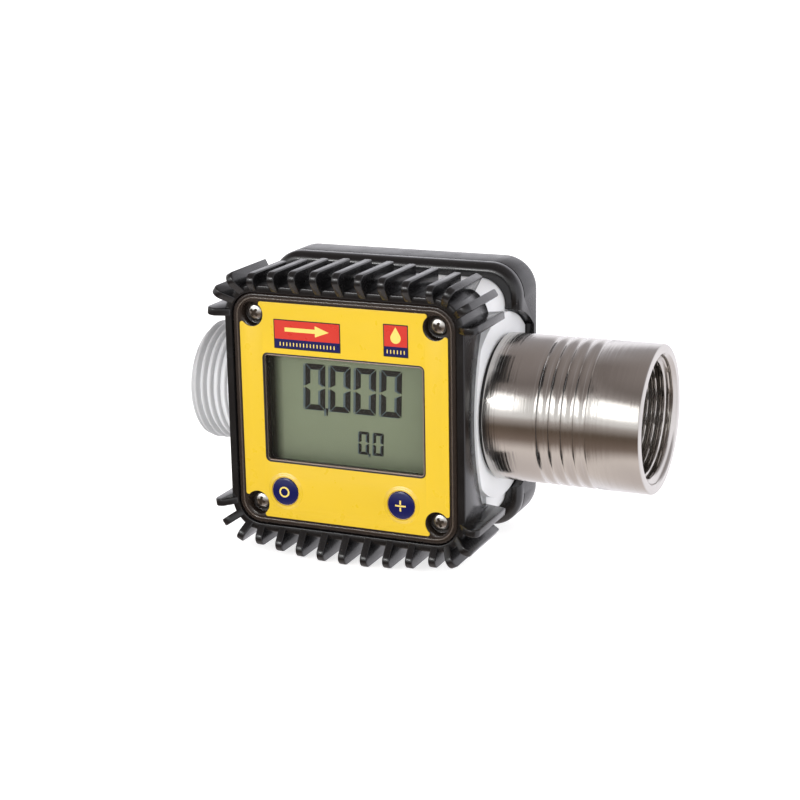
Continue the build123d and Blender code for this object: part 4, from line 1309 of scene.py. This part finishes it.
@dataclass
class Screws:
    """The cross-recess pan screws of the clear cover and of the rear lid."""

    head_radius: float = 2.45 * MM
    head_height: float = 1.7 * MM
    rim: float = 0.75 * MM
    shank: float = 1.5 * MM
    shank_length: float = 10.0 * MM
    recess_reach: float = 1.45 * MM
    recess_width: float = 0.78 * MM
    recess_mouth: Point = (-0.5 * MM, 1.1, 1.05)       # depth, then the shares of the reach and of the width
    recess_foot: Point = (1.25 * MM, 0.45, 0.8)
    floor_reach: float = 0.92
    floor_half: float = 0.47
    floor_depths: tuple[float, float] = (0.32 * MM, 0.5 * MM)
    steps: int = 40
    crown_steps: int = 10
    front_turns: tuple[float, ...] = (12.0, 38.0, 71.0, 24.0)
    rear_turns: tuple[float, ...] = (65.0, 5.0, 43.0, 80.0)

    def build(self) -> None:
        """Makes and dresses both sets of screws."""
        for node, name, turns in (("front_screws", "cover_screws", self.front_turns),
                                  ("rear_screws", "lid_screws", self.rear_turns)):
            low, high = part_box(node)
            facing = -1.0 if node == "front_screws" else 1.0
            face = low.y if facing < 0 else high.y
            places = [(x, face, z) for x in (low.x + self.head_radius, high.x - self.head_radius)
                      for z in (low.z + self.head_radius, high.z - self.head_radius)]
            placings = [Placing(p, math.radians(t)) for p, t in zip(places, turns)]
            screws = COPIER.copies(name, self.screw(facing), placings, PALETTE["screw_steel"])
            dress(shade(screws, ROUND_CREASE), "screw_steel", stands_for=[node])
            # dark plates low in each cross recess: painted shadow inside the recess
            shade_plates = COPIER.copies(name + "_recesses", self.recess_shade_plate(facing), placings, PALETTE["recess_shade"])
            dress(shade_plates, "screw_steel")

    def screw(self, facing: float) -> bpy.types.Object:
        """One screw with the middle of its head's face at the origin, facing along Y.

        Args:
            facing: the sign of the Y direction that it faces.

        Returns:
            The screw.
        """
        crown = self.head_height - self.rim
        profile = [(self.head_radius * math.sin(a), crown * (1 - math.cos(a)))
                   for a in (math.radians(90 * i / self.crown_steps) for i in range(1, self.crown_steps + 1))]
        profile += [(self.head_radius, self.head_height), (self.shank, self.head_height),
                    (self.shank, self.shank_length)]
        steps = self.steps
        points = [(0.0, 0.0, 0.0)]
        for radius, depth in profile:
            points += [(radius * math.cos(math.tau * i / steps), -facing * depth,
                        radius * math.sin(math.tau * i / steps)) for i in range(steps)]
        faces = [(0, 1 + i, 1 + (i + 1) % steps) for i in range(steps)]
        for row in range(len(profile) - 1):
            a, b = 1 + row * steps, 1 + (row + 1) * steps
            faces += [(a + i, a + (i + 1) % steps, b + (i + 1) % steps, b + i) for i in range(steps)]
        last = 1 + (len(profile) - 1) * steps
        faces.append(tuple(last + i for i in range(steps)))
        screw = mesh_object("screw_pattern", points, faces)
        for quarter in (0, 1):
            cut_away(screw, self.recess_wing(facing, quarter))
        return screw

    def recess_shade_plate(self, facing: float) -> bpy.types.Object:
        """A dark cross-shaped plate low in a recess: painted shade where the recess lies in shadow.

        Args:
            facing: the sign of the Y direction that the screw faces.

        Returns:
            The floor.
        """
        reach, half = self.recess_reach * self.floor_reach, self.recess_width * self.floor_half
        corner = [(reach, -half), (reach, half), (half, half)]
        outline = []
        for _ in range(4):
            outline += corner
            corner = [(-z, x) for x, z in corner]
        front, back = sorted(-facing * depth for depth in self.floor_depths)
        return plate("recess_floor_pattern", outline, front, back)

    def recess_wing(self, facing: float, quarter: int) -> bpy.types.Object:
        """One bar of the cross, narrower and shorter towards its bottom.

        Args:
            facing: the sign of the Y direction that the screw faces.
            quarter: 0 for the bar along X, 1 for the one along Z.

        Returns:
            The cutter.
        """
        points = []
        for depth, long, wide in (self.recess_mouth, self.recess_foot):
            reach, width = self.recess_reach * long, self.recess_width * wide
            for sx, sz in ((1, 1), (-1, 1), (-1, -1), (1, -1)):
                x, z = sx * reach, sz * width / 2
                points.append((x, -facing * depth, z) if quarter == 0 else (z, -facing * depth, x))
        return mesh_object("recess_cutter", points, prism_faces(4))


@dataclass(frozen=True)
class Badge:
    """A printed badge: a red field over a navy one in a dark line."""

    name: str
    left: float
    right: float
    bottom: float
    top: float
    split: float


@dataclass(frozen=True)
class Line:
    """A thin raised line: its width, how far it stands proud, and how far its foot is sunk."""

    width: float
    proud: float
    sunk: float


@dataclass
class DisplayFace:
    """The clear cover, the printed label with its badges, and the two keys."""

    print_thick: float = 0.04 * MM
    badge_line: float = 0.26 * MM
    badges: tuple[Badge, ...] = (
        Badge("left_badge", -19.6 * MM, -0.3 * MM, 17.45 * MM, 25.35 * MM, 20.1 * MM),
        Badge("right_badge", 11.9 * MM, 18.85 * MM, 17.75 * MM, 26.35 * MM, 20.5 * MM),
    )
    ridge_in: float = 1.15 * MM
    ridge: Line = Line(0.42 * MM, 0.16 * MM, 0.1 * MM)
    edge: Line = Line(0.32 * MM, 0.05 * MM, 0.3 * MM)
    lip: Line = Line(0.36 * MM, 0.14 * MM, 0.4 * MM)
    cover_corner: float = 6.5 * MM
    cover_edge: float = 0.12 * MM
    label_step: float = 0.25 * MM
    label_edge: float = 0.05 * MM
    badge_corner: float = 0.12 * MM
    window_corner: float = 1.5 * MM
    window_inset: float = 1.2 * MM
    hair_gap: float = 0.01 * MM
    pane_back: float = 0.15 * MM
    edge_overlap: float = 0.02 * MM
    lip_shade: float = 0.4 * MM
    lip_fade: float = 1.5 * MM
    rim_steps: int = 6
    print_sunk: float = 0.1 * MM
    drop_down: float = 0.35 * MM
    drop_ball_down: float = 0.3 * MM
    tick: Frame = Frame(-0.13 * MM, 0.13 * MM, -0.5 * MM, 0.5 * MM, 0.05 * MM)
    tick_rows: tuple[tuple[int, float], ...] = ((17, 0.98 * MM), (6, 0.95 * MM))
    key_dome: float = 0.55 * MM
    key_edge: float = 0.12 * MM
    key_crease: float = 25.0
    mark_levels: tuple[float, float] = (-0.025 * MM, 0.06 * MM)
    mark_reach: float = 1.5
    mark_inner: float = 1.05
    mark_half: float = 0.22
    key_radius: float = 3.75 * MM
    collar: tuple[tuple[float, float], ...] = (
        (3.97, -0.2), (3.97, 0.2), (4.05, 0.3), (4.17, 0.32), (4.3, 0.285), (4.7, 0.15), (5.1, 0.015),
        (5.25, -0.03), (5.25, -0.2))
    key_lip: tuple[tuple[float, float], ...] = ((3.79, -0.5), (3.79, 0.02), (3.87, 0.1), (3.97, 0.06), (3.97, -0.5))

    def build(self) -> None:
        """Makes and dresses the pieces of the face."""
        low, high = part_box("lcd_glass")
        self.middle = middle_x()
        self.cover_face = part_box("front_cover")[0].y
        self.face = self.cover_face - self.label_step
        hidden = self.window_inset
        self.window = Frame(low.x + hidden, high.x - hidden, low.z + hidden, high.z - hidden, self.window_corner)
        self.cover()
        redress("display_label", "yellow_label", "label_print", self.label_edge)
        self.window_rim()
        for badge in self.badges:
            self.badge(badge)
        self.marks()
        self.keys()

    def cover(self) -> None:
        """The clear cover with a hole where the pane is, the pane, and the ridge round the label."""
        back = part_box("lcd_frame")[0].y - self.pane_back
        cover = smooth_copy("front_cover", "clear_cover", self.cover_edge)
        cutter = plate("window_cutter", self.window.outline(), self.cover_face - MM, back + MM)
        shade(cut_away(cover, cutter))
        dress(cover, "clear_cover", stands_for=["front_cover"])
        pane = plate("clear_pane", self.window.grown(-self.hair_gap).outline(), self.cover_face, back)
        dress(pane, "clear_cover", "clear_pane")
        low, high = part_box("front_cover")
        path = Frame(low.x, high.x, low.z, high.z, self.cover_corner)
        section = self.line(self.ridge, -self.ridge_in, self.cover_face)
        dress(shade(swept("cover_ridge", path, section), FINE_CREASE), "clear_cover", "cover_ridge")

    def line(self, line: Line, outer: float, face: float) -> Section:
        """A raised line's section, inwards from its outer edge."""
        return bead(outer - line.width, outer, face, line.proud, line.sunk)

    def window_rim(self) -> None:
        """The dark edge of the label's window and the paler lip inside it."""
        edge = bead(-self.edge.width, self.edge_overlap, self.face, self.edge.proud, self.edge.sunk)
        dress(shade(swept("window_edge", self.window, edge, self.rim_steps), FINE_CREASE), "label_print", "badge_line")
        lip = self.line(self.lip, -self.edge.width, self.cover_face)
        FINISHES["window_lip"] = Lip("window_lip", (0.020, 0.014, 0.011), (0.30, 0.22, 0.17),
                                     self.window.left + self.lip_shade, self.lip_fade)
        dress(shade(swept("window_lip", self.window, lip, self.rim_steps), FINE_CREASE), "clear_cover", "window_lip")

    def badge(self, badge: Badge) -> None:
        """One badge as thin printed layers.

        Args:
            badge: its sizes and place.
        """
        line = self.badge_line
        layers = (("line", badge.bottom, badge.top, 0.0, "badge_line", 1),
                  ("red", badge.split, badge.top - line, line, "badge_red", 2),
                  ("navy", badge.bottom + line, badge.split - self.hair_gap, line, "badge_navy", 2))
        for label, bottom, top, inset, finish, level in layers:
            area = Frame(self.middle + badge.left + inset, self.middle + badge.right - inset, bottom, top,
                         self.badge_corner)
            self.printed(f"{badge.name}_{label}", area.outline(2), finish, level)

    def printed(self, name: str, outline: list[tuple[float, float]], finish: str, level: int) -> None:
        """A thin printed area of the label, some layers up."""
        area = plate(name, outline, self.face - level * self.print_thick, self.face + self.print_sunk)
        dress(area, "label_print", finish)

    def marks(self) -> None:
        """Plain marks on the badges: a flow arrow, a drop and two rows of ticks."""
        left, right = self.badges
        x, z = self.middle + (left.left + left.right) / 2, (left.split + left.top) / 2
        arrow = [(-6.4, -0.55), (2.4, -0.55), (2.4, -1.5), (6.4, 0.0), (2.4, 1.5), (2.4, 0.55), (-6.4, 0.55)]
        self.printed("flow_arrow", [(x + a * MM, z + b * MM) for a, b in arrow], "badge_mark", 3)
        x, z = self.middle + (right.left + right.right) / 2, (right.split + right.top) / 2 - self.drop_down
        drop = [(1.45 * math.cos(math.radians(t)), 1.45 * math.sin(math.radians(t))) for t in range(-210, 31, 15)]
        self.printed("drop_mark", [(x + a * MM, z - self.drop_ball_down + b * MM) for a, b in drop + [(0.0, 2.9)]],
                     "badge_mark", 3)
        for badge, (count, pitch) in zip(self.badges, self.tick_rows):
            middle = self.middle + (badge.left + badge.right) / 2
            face = self.face - 3 * self.print_thick
            height = (badge.split - badge.bottom) / 2 + badge.bottom
            tick = plate("tick_pattern", self.tick.outline(1), 0.0, self.print_thick * 2)
            places = [Placing((middle + (i - (count - 1) / 2) * pitch, face, height)) for i in range(count)]
            ticks = COPIER.copies(badge.name + "_ticks", tick, places, PALETTE["badge_mark"])
            dress(ticks, "label_print")

    def keys(self) -> None:
        """The domed keys with their marks, and a lip and an embossed collar round each."""
        places = []
        for key, body in (("reset", Body.RESET), ("cal", Body.CAL)):
            low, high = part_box(key + "_key")
            centre = ((low.x + high.x) / 2, low.y, (low.z + high.z) / 2)
            places.append(Placing((centre[0], self.face, centre[2])))
            redress(key + "_key", key + "_dome", "key_blue", self.key_edge, 3, self.key_crease,
                    body=body)
            dress(self.key_mark(key, centre), "key_blue", "badge_mark", body=body)
        for name, profile, finish in (("key_collars", self.collar, "key_collar"),
                                      ("key_lips", self.key_lip, "key_lip")):
            ring = round_ring("ring_pattern", profile)
            rings = shade(COPIER.copies(name, ring, places, PALETTE[finish]), ROUND_CREASE)
            dress(rings, "label_print")

    def key_mark(self, key: str, centre: Point) -> bpy.types.Object:
        """A plain mark that follows a key's dome: a ring on one key, a plus on the other.

        Args:
            key: the key's name.
            centre: the middle of the dome's crown.

        Returns:
            The mark.
        """
        ball = (self.key_radius ** 2 + self.key_dome ** 2) / (2 * self.key_dome)
        inner, outer, half = self.mark_inner, self.mark_reach, self.mark_half
        patches = []
        if key == "reset":
            steps = 40
            for i in range(steps):
                a, b = math.tau * i / steps, math.tau * (i + 1) / steps
                patches.append([(r * math.cos(t), r * math.sin(t))
                                for r, t in ((inner, a), (inner, b), (outer, b), (outer, a))])
        else:
            steps = 8
            for i in range(steps):
                a, b = (-outer + 2 * outer * j / steps for j in (i, i + 1))
                patches.append([(a, -half), (b, -half), (b, half), (a, half)])
                if abs(a + b) > 2 * half:
                    patches.append([(-half, a), (half, a), (half, b), (-half, b)])
        points, faces = [], []
        for patch in patches:
            start = len(points)
            for level in self.mark_levels:
                for x, z in patch:
                    fall = ball - math.sqrt(ball ** 2 - (x * x + z * z) * MM * MM)
                    points.append((centre[0] + x * MM, centre[1] + fall + level, centre[2] + z * MM))
            faces += [tuple(start + corner for corner in face) for face in prism_faces(len(patch))]
        return mesh_object(key + "_mark", points, faces)


def round_ring(name: str, profile: Sequence[tuple[float, float]], steps: int = 72) -> bpy.types.Object:
    """A ring about Y at the origin, facing -Y, from points (radius, height) in millimetres.

    Args:
        name: the ring's name.
        profile: the points round its section.
        steps: faces round the axis.

    Returns:
        The new object.
    """
    points = [(r * MM * math.cos(math.tau * i / steps), -h * MM, r * MM * math.sin(math.tau * i / steps))
              for r, h in profile for i in range(steps)]
    return mesh_object(name, points, ring_faces(len(profile), steps))


@dataclass
class Readout:
    """The display behind the window: dark frame, glass and the segments of its numbers."""

    big_left: float = -13.1 * MM
    big_bottom: float = 0.35 * MM
    big_pitch: float = 7.35 * MM
    big_height: float = 12.6 * MM
    small_left: float = 2.35 * MM
    small_bottom: float = -10.6 * MM
    small_pitch: float = 4.2 * MM
    small_size: float = 0.5
    lean: float = 0.034
    width: float = 5.9 * MM
    bar: float = 1.5 * MM
    gap: float = 0.16 * MM
    film: float = 0.02 * MM
    shadow: tuple[float, float] = (-0.62 * MM, -0.12 * MM)
    bezel_edge: float = 0.1 * MM
    shade_from: float = 2.3 * MM
    shade_width: float = 2.9 * MM

    def build(self) -> None:
        """Makes and dresses the readout."""
        redress("lcd_frame", "window_frame", "frame_black", self.bezel_edge)
        self.middle = middle_x()
        low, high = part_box("lcd_glass")
        FINISHES["lcd_glass"] = DisplayGlass("display_cell", (0.010, 0.008, 0.005), (0.170, 0.198, 0.128),
                                             low.x + self.shade_from, self.shade_width)
        redress("lcd_glass", "display_cell", "lcd_glass")
        self.face = low.y
        self.row("big", self.big_left, self.big_bottom, self.big_pitch, 4, 1.0)
        self.row("small", self.small_left, self.small_bottom, self.small_pitch, 2, self.small_size)

    def row(self, name: str, left: float, bottom: float, pitch: float, count: int, size: float) -> None:
        """A row of noughts with a comma after the first, over its paler shadow.

        Args:
            name: the row's name.
            left: left edge of the first number, from the middle of the meter.
            bottom: lower edge of the numbers.
            pitch: distance from number to number.
            count: how many numbers.
            size: scale of the numbers.
        """
        for layer, finish, level, (dx, dz) in (("shadow", "digit_shadow", 1, self.shadow),
                                               ("ink", "digit_ink", 2, (0.0, 0.0))):
            face = self.face - level * self.film
            x = self.middle + left + dx * size
            places = [Placing((x + i * pitch, face, bottom + dz * size)) for i in range(count)]
            nought = COPIER.copies(f"{name}_noughts_{layer}", self.pattern(self.nought()), places,
                                   PALETTE[finish], size)
            comma = COPIER.copies(f"{name}_comma_{layer}", self.pattern([self.comma()]), places[:1],
                                  PALETTE[finish], size)
            dress(join(f"{name}_numbers_{layer}", [nought, comma]), "lcd_glass")

    def nought(self) -> list[list[tuple[float, float]]]:
        """The six lit segments of a nought, as outlines from its lower left corner.

        Returns:
            The outlines.
        """
        w, h, t, g = self.width, self.big_height, self.bar, self.gap
        upper = [(0, h - g), (0, h / 2 + g), (t, h / 2 + g + t * 0.55), (t, h - t - g)]
        top = [(g, h), (t + g, h - t), (w - t - g, h - t), (w - g, h)]
        shapes = [top, upper, [(w - x, z) for x, z in upper]]
        return shapes + [[(x, h - z) for x, z in shape] for shape in shapes]

    def comma(self) -> list[tuple[float, float]]:
        """The comma at a number's lower right corner."""
        w, t = self.width, self.bar
        return [(w + 0.1 * t, 0.5 * t), (w + 0.62 * t, 0.5 * t), (w + 0.5 * t, -0.9 * t), (w + 0.25 * t, -0.9 * t)]

    def pattern(self, shapes: list[list[tuple[float, float]]]) -> bpy.types.Object:
        """Thin segments of some outlines, leaning a little to the right."""
        parts = [plate("segment", [(x + z * self.lean, z) for x, z in shape], 0.0, self.film / 2)
                 for shape in shapes]
        return join("number_pattern", parts)


@dataclass
class HiddenWorks:
    """The pieces inside, which keep their CAD shapes and get their own finishes."""

    def build(self) -> None:
        """Dresses every CAD node that still shows."""
        slots = {part["node"]: part["material_slot"] for part in frame["record"]["subparts"]}
        for name, node in frame["nodes"].items():
            if node.hide_render:
                continue
            material = PALETTE[slots[name]]
            node.data.materials.clear()
            node.data.materials.append(material)
            log.info("%s keeps its CAD shape, in %s", name, material.name)


@dataclass
class Softbox:
    """A rectangular studio lamp aimed at a point."""

    name: str
    place: Point
    target: Point
    width: float
    height: float
    power: float
    mirrored: bool = False

    def build(self) -> None:
        """Adds the lamp; one that isn't mirrored lights things but shows in no reflection."""
        lamp = bpy.data.lights.new(self.name, "AREA")
        lamp.shape = "RECTANGLE"
        lamp.size, lamp.size_y = self.width, self.height
        lamp.energy = self.power
        obj = link_object(self.name, lamp)
        obj.visible_glossy = self.mirrored
        obj.location = self.place
        aim = Vector(self.target) - Vector(self.place)
        obj.rotation_mode = "QUATERNION"
        obj.rotation_quaternion = aim.to_track_quat("-Z", "Y")


@dataclass
class Studio:
    """The pale floor, the lamps and the camera."""

    azimuth: float = 23.687
    elevation: float = 15.143
    roll: float = -1.023
    shift_right: float = 4.097 * MM
    shift_up: float = -1.808 * MM
    distance: float = 508.463 * MM
    focal_pixels: float = 1850.0
    image_pixels: float = 800.0
    sensor: float = 36.0
    clip: tuple[float, float] = (0.01, 60.0)
    floor_half: float = 9.0
    floor_glow: float = 0.70
    backwards: Point = (0.55, 0.83, 0.0)
    room_edge: float = 0.15
    room_front: Stops = (
        (-1.0, (0.75, 0.68, 0.66)), (-0.78, (0.92, 0.84, 0.80)), (-0.58, (0.26, 0.20, 0.17)),
        (-0.28, (0.12, 0.085, 0.06)), (-0.05, (0.55, 0.50, 0.48)), (0.0, (1.0, 1.0, 1.0)), (0.36, (1.0, 1.0, 1.0)),
        (0.54, (0.38, 0.34, 0.33)), (0.75, (0.22, 0.19, 0.18)), (1.0, (0.32, 0.28, 0.27)))
    room_back: Stops = (
        (-1.0, (0.75, 0.68, 0.66)), (-0.6, (1.1, 1.07, 1.12)), (0.3, (1.2, 1.19, 1.26)),
        (0.6, (0.45, 0.43, 0.45)), (1.0, (0.34, 0.30, 0.29)))

    def build(self) -> None:
        """Sets the stage."""
        self.middle = Vector((middle_x(), 0, 0))
        self.ground = CAD_BOX[0].z
        bpy.context.scene.view_settings.view_transform = "Standard"
        self.camera()
        self.floor()
        self.world()
        for box in self.lamps():
            box.build()

    def camera(self) -> None:
        """The camera at the photograph's place."""
        a, e, r = (math.radians(v) for v in (self.azimuth, self.elevation, self.roll))
        back = Vector((math.sin(a) * math.cos(e), -math.cos(a) * math.cos(e), math.sin(e)))
        right = (-back).cross(Vector((0, 0, 1))).normalized()
        up = right.cross(-back)
        right2 = right * math.cos(r) + up * math.sin(r)
        up2 = up * math.cos(r) - right * math.sin(r)
        place = self.middle + right2 * self.shift_right + up2 * self.shift_up + back * self.distance
        lens = bpy.data.cameras.new("camera")
        lens.sensor_width = self.sensor
        lens.lens = self.focal_pixels / self.image_pixels * self.sensor
        lens.clip_start, lens.clip_end = self.clip
        camera = link_object("camera", lens)
        rows = Matrix((right2, up2, back)).transposed().to_4x4()
        camera.matrix_world = Matrix.Translation(place) @ rows
        bpy.context.scene.camera = camera

    def floor(self) -> None:
        """A plain pale floor that fills the view."""
        half = self.floor_half
        floor = mesh_object("floor", [(-half, -half, self.ground), (half, -half, self.ground),
                                      (half, half, self.ground), (-half, half, self.ground)], [(0, 1, 2, 3)])
        shader = Shader("floor_paper")
        shader.set(Specular_IOR_Level=0.1, Emission_Color=(1.0, 1.0, 1.0), Emission_Strength=self.floor_glow)
        shader.clouds(3, 2, (0.90, 0.90, 0.895), (0.92, 0.92, 0.915))
        shader.wear(50, 2, 0.85, 0.95)
        floor.data.materials.append(shader.material)
        floor.visible_glossy = False

    def world(self) -> None:
        """The room as the metal mirrors it: a dim front with a bright table, and a pale backdrop behind."""
        world = bpy.data.worlds.new("surroundings")
        world.use_nodes = True
        tree = world.node_tree
        towards = add_node(tree, "ShaderNodeTexCoord").outputs["Generated"]
        height = add_node(tree, "ShaderNodeSeparateXYZ", {0: towards}).outputs["Z"]

        def ramp(value: bpy.types.NodeSocket, low: float, high: float, stops: Stops) -> bpy.types.NodeSocket:
            """A colour that follows a value of the direction looked in.

            Args:
                value: the value.
                low: its lower end.
                high: its upper end.
                stops: values and their colours.

            Returns:
                The colour.
            """
            spread = add_node(tree, "ShaderNodeMapRange", {"Value": value, "From Min": low, "From Max": high})
            node = add_node(tree, "ShaderNodeValToRGB", {"Fac": spread.outputs[0]})
            marks = node.color_ramp.elements
            while len(marks) < len(stops):
                marks.new(0.5)
            for mark, (at, colour) in zip(marks, stops):
                mark.position = (at - low) / (high - low)
                mark.color = (*colour, 1)
            return node.outputs["Color"]

        side = add_node(tree, "ShaderNodeVectorMath", {0: towards, 1: self.backwards}, operation="DOT_PRODUCT")
        edge = self.room_edge
        mix = add_node(tree, "ShaderNodeMix", {
            "Factor": ramp(side.outputs["Value"], -edge, edge, ((-edge, (0, 0, 0)), (edge, (1, 1, 1)))),
            "A": ramp(height, -1, 1, self.room_front), "B": ramp(height, -1, 1, self.room_back)}, data_type="RGBA")
        back = tree.nodes["Background"]
        tree.links.new(mix.outputs["Result"], back.inputs["Color"])
        back.inputs["Strength"].default_value = 1.0
        bpy.context.scene.world = world

    def lamps(self) -> list[Softbox]:
        """The studio's lamps."""
        centre = tuple(self.middle)
        return [
            Softbox("front_box", (-0.30, -0.90, 0.37), (0.055, 0.0, 0.0), 0.95, 0.44, 2.0, True),
            Softbox("front_core", (-0.29, -0.87, 0.34), (0.055, 0.0, 0.0), 0.34, 0.09, 1.3, True),
            Softbox("key_box", (-0.36, -0.52, 0.80), centre, 0.45, 0.6, 0.6),
            Softbox("top_box", (0.25, 0.25, 1.1), centre, 0.8, 0.8, 2.5),
            Softbox("right_box", (1.1, -0.30, 0.45), centre, 0.7, 0.7, 5.0),
        ]


def main() -> None:
    """Builds every sub-assembly in order."""
    logging.basicConfig(level=logging.INFO, format="%(message)s")
    for part in (Housing(), OutletSleeve(), FrontGuard(), RearGuard(), Screws(), DisplayFace(), Readout(),
                 HiddenWorks(), Studio()):
        log.info("%s", type(part).__name__)
        part.build()


if __name__ == "__main__":
    main()
